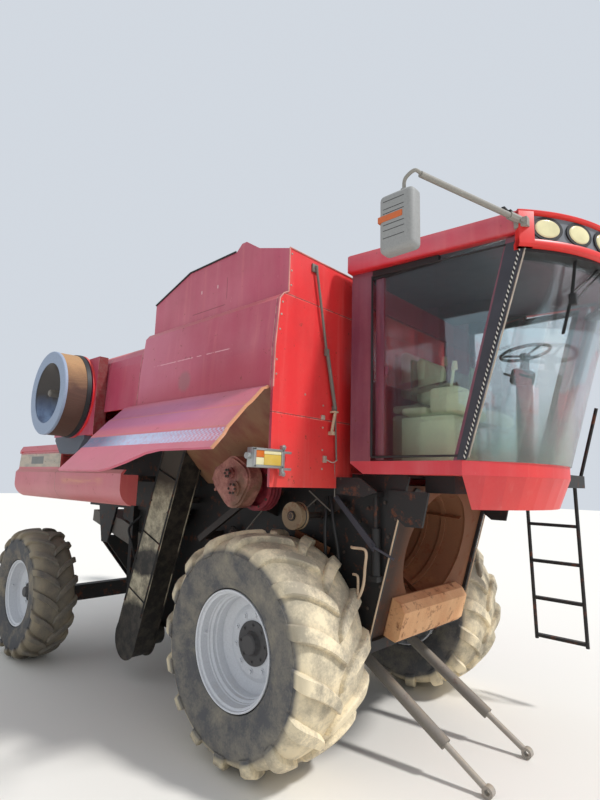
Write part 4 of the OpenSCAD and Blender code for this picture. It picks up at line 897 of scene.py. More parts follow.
# %% One lug, cut flat
def flat_lug(work, length, foot_wide, nose_wide):
    """A lug lying flat: u runs from its nose to its foot, v across, w from 0 to 1 through its height."""
    verts = list(bmesh.ops.create_grid(work.bm, x_segments=11, y_segments=2, size=0.5)["verts"])
    for vert in verts:
        share = vert.co.x + 0.5
        wide = nose_wide + (foot_wide - nose_wide) * share ** 0.8
        if share < 0.01:
            wide *= 0.72
        vert.co = Vector((share * length, vert.co.y * wide, 0))
    faces = list({face for vert in verts for face in vert.link_faces})
    for high, narrow in ((0.78, 0.88), (1.0, 0.82)):
        grown = bmesh.ops.extrude_face_region(work.bm, geom=faces)["geom"]
        faces = only(grown, bmesh.types.BMFace)
        raised = only(grown, bmesh.types.BMVert)
        for vert in raised:
            vert.co.y *= narrow
            vert.co.x = length * 0.03 + vert.co.x * 0.97
            vert.co.z = high
        verts += raised
    return verts


# %% A whole tyre
SHOULDER_ROW = 8
LUG_ROOT = 0.012


def tyre(name, node, body, material, lugs, lug_high, lead, wide, bead_share):
    """A casing with two rows of lugs in the place of a plain tyre."""
    centre = middle(node)
    outer = centre.z
    bead = outer * bead_share
    crown = outer - lug_high
    section = casing_section(size(node).y / 2, crown, bead)
    work = Work()
    inner = [(out * 0.94, up + 0.012) for out, up in reversed(section) if up < (bead + crown) / 2]
    work.turned([(-out, up) for out, up in reversed(section[1:])] + section + inner[:1]
                + [(-inner[0][0], inner[0][1])], centre, steps=96)
    rows = along_section(section)
    tables = [[(row[0], row[column]) for row in rows] for column in (1, 2, 3, 4)]
    foot = rows[SHOULDER_ROW][0]
    nose = -0.03 * outer
    length = foot - nose
    heights = [(foot * share, lug_high * high) for share, high in
               ((0, 1), (0.5, 1.06), (0.72, 1.25), (0.86, 1.15), (0.97, 0.45), (1, 0.3))]
    for row_sign in (1, -1):
        half_step = 0.5 if row_sign * centre.y < 0 else 0
        for index in range(lugs):
            start = math.tau * (index + half_step) / lugs
            for vert in flat_lug(work, length, wide, wide * 0.72):
                place = nose + vert.co.x
                out, up, lean_out, lean_up = (between(abs(place), table) for table in tables)
                if place < 0:
                    out, lean_out = -out, -lean_out
                rise = vert.co.z * (between(max(place, 0), heights) + LUG_ROOT) - LUG_ROOT
                out += lean_out * rise
                up += lean_up * rise
                share = min(1.0, max(0.0, vert.co.x / length))
                angle = start - lead * (1 - share ** 0.75) ** 1.1 - vert.co.y / outer
                vert.co = centre + Vector((-math.sin(angle) * up, row_sign * out, math.cos(angle) * up))
    return work.done(name, material, body, replaces=(node,), smooth=40)


# %% [markdown]
# ## Rims
# A rim is rolled from one strip: a curled lip, a seat for the bead, steps down to the well, and a
# dished disc welded inside, bolted to the hub. All of it is round, so one closed profile and `spin`
# make it; the bolts, the valve and the dark hub cap are set on afterwards.

# %% Rim
def rim(name, node, body, material, lip, deep, disc, flat, bore, circle, bolts):
    """A stepped rim. Lip, depth of the well, way in to the disc, its flat, bore and bolt circle in metres."""
    centre = middle(node)
    half = size(node).y / 2
    out = math.copysign(1, centre.y)
    seat = lip - 0.022
    well = lip - deep
    step = (seat - well) / 3
    steps_in = [(half - 0.016, lip), (half - 0.022, seat), (half - 0.10, seat - 0.004),
                (half - 0.13, well + 0.004)]
    outer = [(half, lip - 0.004), (half - 0.004, lip)] + steps_in
    outer += [(-place, radius) for place, radius in reversed(steps_in)] + [(-half, lip - 0.004)]
    inner = [(-half, lip - 0.014), (-half + 0.03, seat - 0.014), (-half + 0.10, seat - 0.018),
             (-half + 0.13, well - 0.008), (disc - 0.012, well - 0.008), (disc - 0.035, flat * 1.15),
             (disc - 0.012, flat), (disc - 0.012, bore), (disc, bore), (disc, flat * 0.96),
             (disc - 0.004, flat), (disc - 0.022, flat * 1.12), (disc - 0.018, flat * 1.2),
             (disc + 0.006, well - 0.018), (disc + 0.02, well - 0.009), (half - 0.175, well - 0.008),
             (half - 0.165, well - 0.004), (half - 0.160, well - 0.012 + step),
             (half - 0.135, well - 0.010 + step), (half - 0.128, well - 0.010 + 2 * step),
             (half - 0.105, well - 0.008 + 2 * step), (half - 0.097, seat - 0.016),
             (half - 0.030, seat - 0.012), (half - 0.020, lip - 0.018), (half - 0.004, lip - 0.014)]
    work = Work()
    work.turned([(out * place, radius) for place, radius in outer + inner], centre, steps=96)
    work.bolts(around(centre + Vector((0, out * (disc + 0.001), 0)), circle, bolts, 0.35), (0, out, 0),
               across=0.03)
    valve = centre + Vector((-(seat - 0.016) * 0.985, out * (half - 0.07), 0.03))
    work.rod(valve, valve + Vector((0.03, out * 0.012, 0)), 0.014, tip=0.009, sides=12)
    return work.done(name, material, body, replaces=(node,), smooth=30)


def hub(name, node, body, material, disc, plate, boss, proud):
    """The dark hub plate in a rim's middle, with its boss and small screws."""
    centre = middle(node)
    out = math.copysign(1, centre.y)
    face = disc + 0.016
    tip = disc + proud
    profile = [(disc, 0.0), (disc, plate), (disc + 0.012, plate), (face, plate * 0.95), (face, boss * 1.12),
               (disc + 0.03, boss), (tip - 0.01, boss * 0.92), (tip, boss * 0.8), (tip, 0.0)]
    work = Work()
    work.turned([(out * place, radius) for place, radius in profile], centre, steps=48, closed=False)
    work.bolts(around(centre + Vector((0, out * face, 0)), plate * 0.82, 8), (0, out, 0), across=0.018)
    return work.done(name, material, body, smooth=30)


# %% Four wheels
WHEELS = {"drive": dict(lugs=16, lug_high=0.042, lead=0.36, wide=0.15, bead_share=0.498),
          "steer": dict(lugs=18, lug_high=0.033, lead=0.34, wide=0.10, bead_share=0.507)}
RIMS = {"drive": dict(lip=0.438, deep=0.066, disc=0.085, flat=0.262, bore=0.062, circle=0.216, bolts=10),
        "steer": dict(lip=0.380, deep=0.055, disc=0.045, flat=0.200, bore=0.047, circle=0.150, bolts=8)}
HUBS = {"drive": dict(disc=0.086, plate=0.170, boss=0.085, proud=0.066),
        "steer": dict(disc=0.046, plate=0.110, boss=0.065, proud=0.070)}
for kind in ("drive", "steer"):
    for side in ("right", "left"):
        body = f"{kind}_wheel_{side}"
        tyre(f"{kind}_tyre_{side}_detail", f"{kind}_tyre_{side}", body, TYRES[kind], **WHEELS[kind])
        rim(f"{kind}_rim_{side}_detail", f"{kind}_rim_{side}", body, rim_paint, **RIMS[kind])
        hub(f"{kind}_hub_{side}", f"{kind}_rim_{side}", body, hub_iron, **HUBS[kind])

# %% [markdown]
# ## The air screen
# A rotating drum keeps chaff out of the radiator. Its wall is fine mesh, brown with dust and tan where
# the sun reaches it; its outer face is a flat painted ring, and inside the ring a funnel leads back to
# the fan. Every part is round, so each is a profile turned on the drum's own line, and all of them
# ride on the drum's own body.

# %% Air screen
screen_line = Vector((middle("air_screen").x, 0, middle("air_screen").z))
screen_r = size("air_screen").z / 2
screen_out, screen_in = (corner.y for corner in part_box("air_screen"))


def screen_part(name, finish, profile, steps=96, closed=True, replaces=()):
    """Turns a part of the screen. The profile gives depths behind the outer face, with radii."""
    work = Work()
    work.turned([(screen_out + deep, radius) for deep, radius in profile], screen_line, steps, closed)
    return work.done(name, finish, "air_screen", replaces)


screen_deep = screen_in - screen_out
screen_part("air_screen_drum", drum_mesh,
            [(0.012, screen_r - 0.004), (screen_deep - 0.05, screen_r),
             (screen_deep - 0.05, screen_r - 0.02), (0.012, screen_r - 0.024)], replaces=("air_screen",))
screen_part("air_screen_face", ring_paint,
            [(0.0, screen_r * 0.985), (0.006, screen_r), (0.03, screen_r + 0.001), (0.03, screen_r * 0.96),
             (0.012, screen_r * 0.94), (0.012, screen_r * 0.735), (0.004, screen_r * 0.72),
             (0.0, screen_r * 0.73)])
screen_part("air_screen_funnel", funnel_paint,
            [(0.006, screen_r * 0.735), (0.10, screen_r * 0.60), (0.19, screen_r * 0.42),
             (0.20, screen_r * 0.12), (0.17, 0.0), (0.215, 0.0), (0.22, screen_r * 0.45),
             (0.11, screen_r * 0.66), (0.014, screen_r * 0.76)], steps=72)
screen_part("air_screen_hub", dusty_grey,
            [(0.018, 0.0), (0.018, 0.028), (0.03, 0.038), (0.19, 0.045), (0.21, 0.075), (0.214, 0.0)],
            steps=32, closed=False)
screen_part("air_screen_seal", cab_plastic,
            [(screen_deep - 0.055, screen_r + 0.006), (screen_deep - 0.012, screen_r + 0.012),
             (screen_deep - 0.004, screen_r * 0.98), (screen_deep - 0.004, screen_r * 0.85),
             (screen_deep - 0.055, screen_r * 0.85)])

# %% [markdown]
# ## Tank front and marker lamps
# The tank's front sheet is bolted along its folded edge, and a long strut with a pale hand lever runs
# down it. Below hangs the marker lamp: a chrome tray with an orange, a cream and a yellow field.

# %% Strut and hand lever
front_x = 0.532
strut = Work()
strut.bolts([(front_x, -1.28, 3.91)], FORWARD, across=0.035)
strut.block((0.528, -1.315, 3.87), (0.548, -1.245, 3.94), 0.006)
strut.pipe([(0.556, -1.28, 3.92), (0.556, -1.20, 3.55), (0.556, -1.13, 3.22)], 0.011)
strut.block((0.545, -1.15, 3.19), (0.572, -1.11, 3.25), 0.004)
strut.pipe([(0.56, -1.13, 3.24), (0.56, -1.01, 2.76)], 0.016)
strut.pipe([(0.56, -1.01, 2.77), (0.552, -0.975, 2.34)], 0.007)
strut.block((0.528, -1.02, 2.73), (0.556, -0.98, 2.79), 0.004)
strut.done("tank_strut", dusty_grey)
lever = Work()
lever.block((0.562, -1.055, 2.56), (0.578, -1.030, 2.74), 0.005, turn=turned_by(-14, "X"))
lever.block((0.53, -1.065, 2.545), (0.585, -1.035, 2.575), 0.005)
lever.block((0.53, -1.045, 2.73), (0.585, -0.995, 2.745), 0.004)
lever.done("tank_lever", bone)

# %% Fixings and flange of the front sheet
FIXINGS = [(-1.672, 2.95), (-1.674, 3.06), (-1.650, 3.30), (-1.640, 3.42), (-1.630, 3.52),
           (-1.545, 3.68), (-1.545, 3.80), (-1.545, 3.94), (-1.13, 2.78), (-1.13, 2.60), (-1.13, 2.42),
           (-1.13, 2.27), (-1.35, 2.84), (-1.20, 3.60)]
fixings = Work()
fixings.bolts([(front_x - 0.001, y, z) for y, z in FIXINGS], FORWARD, across=0.010)
fixings.block((front_x - 0.004, -1.155, 2.665), (front_x + 0.012, -1.115, 2.700), 0.004)
fixings.block((front_x - 0.004, -1.125, 2.32), (front_x + 0.016, -1.09, 2.375), 0.004)
fixings.pipe(rounded([(0.545, -1.10, 2.345), (0.56, -1.03, 2.325), (0.55, -0.96, 2.35)]), 0.005)
fixings.done("tank_fixings", pale_zinc)

flange_r = 0.006
flange_y = 1.5705
flange_top = 3.985
FLANGE_SIDE = [(1.700, 2.85), (1.694, 3.16), (1.660, 3.545), (1.622, 3.593), (1.57, 3.62)]
flange = Work()
flange.pipe([(front_x, -flange_y, 3.62), (front_x, -flange_y, flange_top)], flange_r, sides=8)
flange.pipe([(front_x, -flange_y, flange_top), (front_x, flange_y, flange_top)], flange_r, sides=8)
for sign in (-1, 1):
    flange.pipe([(front_x, sign * y, z) for y, z in FLANGE_SIDE], flange_r, sides=8)
flange.done("tank_flange", worn_edge)

# %% Marker lamps
TRAY = [((0.590, 1.650, 2.255), (0.616, 1.930, 2.270)), ((0.590, 1.650, 2.370), (0.616, 1.930, 2.385)),
        ((0.590, 1.650, 2.255), (0.616, 1.668, 2.385)), ((0.590, 1.912, 2.255), (0.616, 1.930, 2.385)),
        ((0.540, 1.648, 2.252), (0.598, 1.932, 2.388)), ((0.556, 1.530, 2.361), (0.578, 1.640, 2.379)),
        ((0.556, 1.530, 2.241), (0.578, 1.640, 2.259))]
FIELDS = [("orange", orange_lens, 1.835, 1.910, 2.322, 2.370), ("cream", lens, 1.835, 1.910, 2.270, 2.321),
          ("yellow", yellow_lens, 1.669, 1.834, 2.270, 2.345), ("pale", lens, 1.669, 1.834, 2.346, 2.370)]
bracket_y = 1.625
for side, sign in SIDES:
    tray = Work()
    for (x0, y0, z0), (x1, y1, z1) in TRAY:
        tray.block((x0, sign * y0, z0), (x1, sign * y1, z1), 0.003)
    tray.block((0.556, sign * bracket_y - 0.012, 2.20), (0.592, sign * bracket_y + 0.012, 2.42), 0.004)
    tray.bolts([(0.592, sign * bracket_y, z) for z in (2.215, 2.405)], FORWARD, across=0.022)
    tray.rod((0.57, sign * 1.93, 2.33), (0.57, sign * 1.965, 2.33), 0.022)
    tray.done(f"marker_tray_{side}", dull_chrome, replaces=("lamps",) if side == "right" else ())
    for name, finish, y0, y1, z0, z1 in FIELDS:
        field = Work()
        field.block((0.596, sign * y0, z0), (0.611, sign * y1, z1), 0.004)
        field.done(f"marker_{name}_{side}", finish)

# %% [markdown]
# ## Visor and work lamps
# Above the windscreen the roof ends in a deep moulded visor: a red frame bent to the screen's curve,
# with a recessed grey band that holds six oval lamps. Every member has one section along the whole
# bend, so each is a face spun part of the way round the screen's centre.

# %% Visor
visor_centre = at_axle(1.0755, 0, 0)
visor_tuck = 0.032
visor_end = 44.8


def swept(work, section, start=-visor_end, end=visor_end, steps=40):
    """A section of (radius, height) points, carried round the visor's centre between two angles."""
    begin = turned_by(start, "Z")
    verts = [work.bm.verts.new(visor_centre + begin @ Vector((radius - visor_tuck, 0, z)))
             for radius, z in section]
    face = work.bm.faces.new(verts)
    bmesh.ops.spin(work.bm, geom=[face], cent=visor_centre, axis=(0, 0, 1),
                   angle=math.radians(end - start), steps=steps)


visor = Work()
swept(visor, [(1.33, 3.962), (1.436, 3.962), (1.452, 3.972), (1.455, 3.986), (1.445, 3.997), (1.33, 3.992)])
swept(visor, [(1.30, 3.738), (1.430, 3.738), (1.448, 3.750), (1.452, 3.772), (1.444, 3.790), (1.395, 3.792)])
for start in (-visor_end, visor_end - 4.2):
    swept(visor, [(1.395, 3.738), (1.440, 3.738), (1.453, 3.754), (1.455, 3.976), (1.446, 3.994),
                  (1.395, 3.990)], start, start + 4.2, 4)
visor.done("visor_frame", visor_paint)
inset = Work()
swept(inset, [(1.392, 3.786), (1.428, 3.786), (1.430, 3.966), (1.392, 3.966)], -40.7, 40.7)
inset.done("visor_band", band_grey)

# %% Work lamps
def oval(work, place, half_high, half_wide, deep, tip):
    """An oval disc that faces along its place's Z, narrower at the tip."""
    return bmesh.ops.create_cone(work.bm, cap_ends=True, segments=40, radius1=1, radius2=tip, depth=1,
                                 matrix=place @ Matrix.Diagonal((half_high, half_wide, deep, 1)))["verts"]


LAMP_ANGLES = (-36.2, -25.5, -14.8, 14.8, 25.5, 36.2)
bezels, lamps = Work(), Work()
for angle in LAMP_ANGLES:
    out = turned_by(angle, "Z")
    place = Matrix.Translation(visor_centre + out @ Vector((1.430 - visor_tuck, 0, 3.876)))
    place = place @ out @ turned_by(90, "Y")
    oval(bezels, place, 0.083, 0.116, 0.010, 1.0)
    lamps.soften(oval(lamps, place, 0.075, 0.108, 0.024, 0.8), 0.006, 3)
bezels.done("work_lamp_bezels", cab_plastic)
lamps.done("work_lamp_lenses", lens)
seal = Work()
swept(seal, [(1.28, 3.715), (1.41, 3.715), (1.41, 3.742), (1.28, 3.742)], -42.5, 42.5)
seal.done("visor_seal", cab_plastic)

# %% [markdown]
# ## The extension's rim
# The cover of the tank's extension overlaps its sides in a thin dark rim along the sloping top.

# %% Extension rim
RIM_LINE = [(-1.402, 3.932), (-1.325, 3.958), (-0.812, 4.133), (-0.135, 4.146)]
rim_line = Work()
for sign in (-1, 1):
    rim_line.pipe([(x, sign * 1.574, z) for x, z in RIM_LINE], 0.009, sides=6)
rim_line.done("extension_rim", cab_plastic)

# %% [markdown]
# ## Mirrors
# Each mirror is a deep ribbed shell of weathered plastic on a bent arm: a thick tube out from the roof,
# and in its end a thinner tube that curls over and down. An orange reflector band wraps the shell, and
# the glass sits in the side that is seen from the cab.

# %% Mirrors
shell_half = Vector((0.116, 0.054, 0.185))
GROOVES = (0.14, 0.27, 0.345, 0.54, 0.635, 0.76)
for side, sign, knee_x in (("right", -1, 1.814), ("left", 1, 2.180)):
    root = at_axle(2.090, sign * 0.970, 3.915)
    knee = at_axle(knee_x, sign * 1.800, 3.960)
    toward = (knee - root).normalized()
    shell_middle = knee + Vector((-0.112, sign * 0.045, -0.286))
    low, high = shell_middle - shell_half, shell_middle + shell_half
    arm = Work()
    arm.pipe([root, knee], 0.019, sides=16)
    arm.pipe(rounded([knee.lerp(root, 0.02), knee + Vector((-0.012, sign * 0.038, 0.012)),
                      knee + Vector((-0.060, sign * 0.048, -0.010)),
                      shell_middle + Vector((0.03, 0, 0.245)), shell_middle + Vector((0.03, 0, 0.17))]),
             0.011, sides=12)
    arm.rod(root - toward * 0.03, root + toward * 0.12, 0.027, sides=8)
    arm.block(root + Vector((-0.045, -0.025, -0.05)), root + Vector((0.045, 0.025, 0.015)), 0.006)
    arm.bolts([root + Vector((0.02, sign * 0.028, -0.015))], (0.3, sign, 0), across=0.03)
    arm.done(f"mirror_arm_{side}", arm_grey, replaces=("mirrors",) if side == "right" else ())
    clasp = Work()
    for shift in (0.10, 0.16):
        clasp.block(root + toward * shift + Vector((-0.012, -0.03, 0.018)),
                    root + toward * shift + Vector((0.012, 0.03, 0.034)), 0.003)
    clasp.done(f"mirror_clasp_{side}", cab_plastic)
    shell = Work()
    shell.block(low, high, 0.034, segments=5)
    shell.rod(shell_middle + Vector((0.03, 0, 0.18)), shell_middle + Vector((0.03, 0, 0.20)), 0.022)
    shell.done(f"mirror_shell_{side}", mirror_grey)
    grooves = Work()
    for share in GROOVES:
        z = high.z - share * 2 * shell_half.z
        grooves.block(Vector((low.x + 0.034, low.y - 0.0012, z - 0.0018)),
                      Vector((low.x + 0.175, high.y + 0.0012, z + 0.0018)))
    grooves.done(f"mirror_grooves_{side}", dark_line)
    stripe = Work()
    stripe.block(Vector((low.x - 0.002, low.y - 0.004, high.z - 0.176)),
                 Vector((low.x + 0.165, high.y + 0.003, high.z - 0.137)), 0.004)
    stripe.done(f"mirror_band_{side}", orange_band)
    glass = Work()
    inner_y = high.y if sign < 0 else low.y
    glass.block(Vector((low.x + 0.03, inner_y - 0.002, low.z + 0.035)),
                Vector((high.x - 0.03, inner_y + 0.005, high.z - 0.035)), 0.002)
    glass.done(f"mirror_glass_{side}", chrome)

# %% [markdown]
# ## Cab trim
# Glass needs rubber. A black seal frames each side pane, a braided cord in black and white covers the
# joint along the leaning front pillar, and a bright strip edges the curved screen. A wiper hangs from
# the header over the screen.

# %% Seals and strips
pillar_slope = math.tan(math.radians(15.5))
pane_rear = 0.862


def pillar_at(z, ahead, y):
    """A place on the leaning front pillar's edge, from the drive axle."""
    return (1.612 + (z - 2.34) * pillar_slope + ahead, y, z)


for side, sign in SIDES:
    y = sign * 0.926
    seals = Work()
    seals.pipe([(pane_rear, y, 2.372), pillar_at(2.372, -0.03, y), pillar_at(3.80, -0.03, y),
                (pane_rear, y, 3.86), (pane_rear, y, 2.372)], 0.010, sides=8)
    seals.done(f"window_seal_{side}", cab_plastic)
    cover = Work()
    cover.cut_sheet([(pillar_at(z, ahead, y)[0], z) for z, ahead in
                     ((2.345, -0.030), (2.345, 0.040), (3.80, 0.085), (3.80, -0.045))], 0.008,
                    upright(sign * 0.932))
    cover.done(f"pillar_cover_{side}", slate_cover)
    cord = Work()
    cord.pipe([pillar_at(2.345, 0.020, sign * 0.936), pillar_at(3.79, 0.060, sign * 0.936)], 0.009)
    cord.done(f"pillar_braid_{side}", braid)
    edging = Work()
    edging.pipe([pillar_at(2.36, 0.045, y), pillar_at(3.76, 0.092, y)], 0.0065, sides=8)
    edging.done(f"screen_edging_{side}", pale_zinc)
post = Work()
post.block((0.885, -0.905, 2.345), (0.965, -0.865, 3.845), 0.008)
post.block((0.972, -0.900, 3.02), (1.000, -0.880, 3.09), 0.004)
post.done("inner_post", pillar_paint)

# %% Wiper
blade = [at_axle(2.292, -0.556, 3.718), at_axle(2.250, -0.530, 3.48), at_axle(2.176, -0.512, 3.228)]
wiper = Work()
wiper.pipe(blade, 0.008, sides=6)
wiper.pipe([point + Vector((0.014, -0.010, 0)) for point in blade], 0.005, sides=6)
wiper.pipe([(2.263, -0.535, 3.50), (2.376, -0.285, 3.722)], 0.007, sides=8)
wiper.pipe([(2.252, -0.525, 3.43), (2.380, -0.265, 3.700)], 0.006, sides=8)
wiper.block((2.235, -0.550, 3.42), (2.285, -0.500, 3.50), 0.008)
wiper.rod((2.350, -0.275, 3.71), (2.390, -0.275, 3.75), 0.02)
wiper.done("wiper", cab_plastic)

# %% [markdown]
# ## Behind the raised shield
# The drives are cast and pressed iron with bolts round their rims, and old grease has caught dust and
# rust. The castings are in the solids; the bolts, the hub nuts, the straps and a few hoses are added.

# %% Drive details
idler_x, idler_z = 0.28, 1.89
drives = Work()
drives.bolts(around((-0.20, -1.442, 2.09), 0.040, 6), RIGHT, across=0.014)
drives.bolts(around((-0.27, -1.442, 2.22), 0.030, 6), RIGHT, across=0.014)
drives.bolts(around((-0.17, -1.202, 2.11), 0.175, 10), RIGHT, across=0.014)
drives.bolts([(idler_x, -1.192, idler_z)], RIGHT, across=0.045)
drives.bolts([(-1.15, -0.932, 1.15), (-0.86, -0.858, 1.64)], RIGHT, across=0.05)
drives.done("drive_bolts", greasy_iron)
idler = Work()
idler.turned([(-1.195, 0.030), (-1.195, 0.088), (-1.200, 0.098), (-1.200, 0.110), (-1.186, 0.112),
              (-1.178, 0.100), (-1.132, 0.100), (-1.124, 0.112), (-1.112, 0.110), (-1.112, 0.030)],
             (idler_x, 0, idler_z), steps=48)
idler.turned([(-1.215, 0.012), (-1.215, 0.026), (-1.190, 0.036), (-1.190, 0.012)], (idler_x, 0, idler_z),
             steps=24)
idler.done("idler_rim", cream_iron)

# %% Rods, straps and hoses under the tank
rods = Work()
for start, end, radius in (((-0.06, -1.0, 2.10), (-0.50, -1.0, 1.70), 0.006),
                           ((0.24, -0.95, 2.09), (0.44, -0.90, 1.93), 0.006),
                           ((0.29, -0.90, 2.03), (0.14, -0.90, 1.92), 0.006),
                           ((0.53, -0.97, 2.32), (0.52, -0.95, 2.05), 0.005)):
    rods.pipe([start, end], radius, sides=8)
rods.done("thin_rods", dusty_grey)
strap = Work()
strap.cut_sheet([(0.44, 2.045), (0.485, 2.06), (0.865, 1.70), (0.845, 1.645)], 0.012, upright(-0.862))
strap.pipe([(0.85, -0.868, 1.68), (0.99, -0.80, 1.60)], 0.010, sides=8)
strap.bolts([(0.835, -0.876, 1.69), (0.48, -0.876, 2.04)], RIGHT, across=0.026)
strap.done("corner_strap", strap_steel)
pipes = Work()
pipes.pipe(rounded([(0.66, -0.90, 1.665), (0.70, -0.93, 1.665), (0.80, -0.93, 1.665), (0.825, -0.93, 1.63),
                    (0.815, -0.93, 1.54), (0.80, -0.93, 1.40), (0.75, -0.93, 1.29), (0.62, -0.90, 1.15)], 4),
           0.011)
pipes.pipe(rounded([(0.68, -0.90, 1.46), (0.72, -0.91, 1.46), (0.735, -0.91, 1.43), (0.73, -0.91, 1.30),
                    (0.70, -0.90, 1.22)], 4), 0.010)
pipes.done("lift_pipes", bone)
bar = Work()
bar.block((0.0, -0.87, 1.63), (0.40, -0.84, 1.69), 0.006, turn=turned_by(17, "Y"))
bar.done("rusty_bar", rusty_intake)
hoses = Work()
for path in ([(0.40, -0.85, 2.05), (0.47, -0.90, 1.85), (0.50, -0.86, 1.55), (0.46, -0.84, 1.20),
              (0.40, -0.84, 1.02)],
             [(0.36, -0.85, 2.05), (0.40, -0.92, 1.80), (0.38, -0.88, 1.45), (0.34, -0.84, 1.12)],
             [(-2.60, -0.86, 1.70), (-2.66, -0.98, 1.55), (-2.55, -0.98, 1.36), (-2.62, -0.88, 1.16)]):
    hoses.pipe(rounded(path), 0.014)
hoses.done("fixed_hoses", cab_plastic)

# %% [markdown]
# ## Roof
# The roof slopes a little down to the front. It is one moulding, so the solid's own mesh is copied and
# leaned, and it is made a little deeper at the sides. Narrow wedges close it to the pillars and panes.

# %% Roof
roof_low, roof_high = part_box("cab_roof")


def roof_rise(x):
    """How far the roof is lifted at a place along the cab."""
    return 0.062 - 0.100 * (x - roof_low.x) / (roof_high.x - roof_low.x)


roof = Work()
roof.bm.from_mesh(nodes["cab_roof"].data)
for vert in roof.bm.verts:
    vert.co.z = roof_low.z + (vert.co.z - roof_low.z) * 1.32 + roof_rise(vert.co.x)
    from_middle = Vector((vert.co.x - visor_centre.x, vert.co.y, 0))
    if from_middle.length > 1.3 and from_middle.x > 0.9:
        vert.co -= from_middle.normalized() * (visor_tuck + 0.003)
roof.done("leaning_roof", roof_paint, replaces=("cab_roof",))

# %% Wedges and strips under the roof
wedge_foot, wedge_top = 3.835, 3.87
wedges, strips = Work(), Work()
for inner_y in (-0.883, 0.918):
    for work, start, end in ((wedges, 0.652, 0.86), (strips, 0.86, 1.46)):
        work.cut_sheet([(start, wedge_foot), (end, wedge_foot), (end, wedge_top + roof_rise(axle_x + end)),
                        (start, wedge_top + roof_rise(axle_x + start))], 0.035, upright(inner_y))
wedges.block((0.652, -0.915, wedge_foot), (0.688, 0.915, 3.925))
wedges.done("roof_wedges", pillar_paint)
strips.done("roof_strips", cab_plastic)

# %% [markdown]
# ## In the cab
# Through the glass you see the seat, the console and the steering column. The cushions are foam in a
# sewn cover. Each is a slightly small rounded block that cloth simulation blows up inside its own
# cap, so the top crowns and the sides pull in between the corners. One subdivision smooths it.

# %% Cushions
voxel = 0.012
swell = 0.022
settle_frames = 20


def cushion(name, low, high, soft):
    """A sewn cushion: a soft block, blown up a little as cloth, then smoothed once."""
    pad = Work()
    pad.block(low, high, soft, segments=4)
    piece = pad.done(name, seat_cloth, smooth=80)
    bpy.context.view_layer.objects.active = piece
    piece.select_set(True)
    remesh = piece.modifiers.new("even", "REMESH")
    remesh.mode = "VOXEL"
    remesh.voxel_size = voxel
    bpy.ops.object.modifier_apply(modifier=remesh.name)
    start = [vert.co.copy() for vert in piece.data.vertices]
    cloth = piece.modifiers.new("cover", "CLOTH")
    cloth.settings.use_pressure = True
    cloth.settings.uniform_pressure_force = 4
    cloth.settings.effector_weights.gravity = 0
    for frame_number in range(1, settle_frames + 1):
        bpy.context.scene.frame_set(frame_number)
    bpy.ops.object.modifier_apply(modifier=cloth.name)
    bpy.context.scene.frame_set(1)
    for vert, was in zip(piece.data.vertices, start):
        moved = vert.co - was
        if moved.length > swell:
            vert.co = was + moved.normalized() * swell
    round_off = piece.modifiers.new("smooth", "SUBSURF")
    round_off.levels = round_off.render_levels = 1
    piece.select_set(False)


cushion("seat_cushion", (0.915, -0.245, 2.735), (1.335, 0.245, 2.835), 0.045)
cushion("back_cushion", (0.850, -0.225, 2.875), (0.935, 0.225, 3.325), 0.036)

# %% Seat frame and console
seat_frame = Work()
seat_frame.block((0.87, -0.235, 2.34), (1.25, 0.235, 2.71), 0.03)
seat_frame.block((0.80, -0.235, 2.70), (0.84, 0.235, 3.30), 0.015)
seat_frame.block((0.84, -0.255, 2.69), (1.33, 0.255, 2.722), 0.01)
for sign in (-1, 1):
    seat_frame.rod((0.86, sign * 0.265, 2.99), (1.22, sign * 0.275, 3.03), 0.028)
seat_frame.done("seat_frame", tan_vinyl, replaces=("seat",))
console = Work()
console.block((0.90, -0.555, 2.34), (1.38, -0.325, 2.72), 0.025)
console.block((1.16, -0.545, 2.74), (1.42, -0.335, 2.95), 0.03)
console.block((0.90, -0.545, 2.74), (1.13, -0.335, 2.80), 0.02)
console.rod((1.30, -0.44, 2.93), (1.33, -0.44, 3.12), 0.012)
console.rod((1.335, -0.44, 3.10), (1.34, -0.44, 3.17), 0.028, tip=0.018)
console.done("console", pale_panel)

# %% Steering wheel
wheel_middle = at_axle(1.744, 0, 3.267)
wheel_r = 0.19
wheel_tilt = turned_by(-9, "Y")
wheel = Work()
wheel.pipe([wheel_middle + wheel_tilt @ turned_by(7.5 * station, "Z") @ Vector((wheel_r, 0, 0))
            for station in range(49)], 0.014)
for angle in (90, 210, 330):
    out = wheel_tilt @ turned_by(angle, "Z") @ Vector((wheel_r - 0.005, 0, 0))
    wheel.rod(wheel_middle - Vector((0, 0, 0.03)), wheel_middle + out, 0.010, sides=8)
wheel.rod(wheel_middle - Vector((0, 0, 0.06)), wheel_middle - Vector((0, 0, 0.01)), 0.04)
wheel.done("steering_wheel", grey_plastic, replaces=("steering_column",))

# %% Steering post
column = Work()
column.block((1.665, -0.055, 2.34), (1.775, 0.055, 3.00), 0.02, turn=turned_by(1.5, "Y"))
column.rod((1.72, 0, 2.98), (1.742, 0, 3.22), 0.055, tip=0.03)
column.block((1.63, -0.075, 2.99), (1.80, 0.075, 3.13), 0.035, turn=turned_by(14, "Y"))
column.rod((1.70, 0.05, 3.06), (1.62, 0.24, 3.10), 0.008)
column.rod((1.70, -0.05, 3.05), (1.66, -0.24, 3.06), 0.010)
column.done("steering_post", grey_plastic)

# %% [markdown]
# ## The open front
# Where the feeder was taken off, the side sheets end in a pale folded edge, and a black gusset still
# hangs at the corner of the mouth. Rows of old bolts hold the black side sheets.

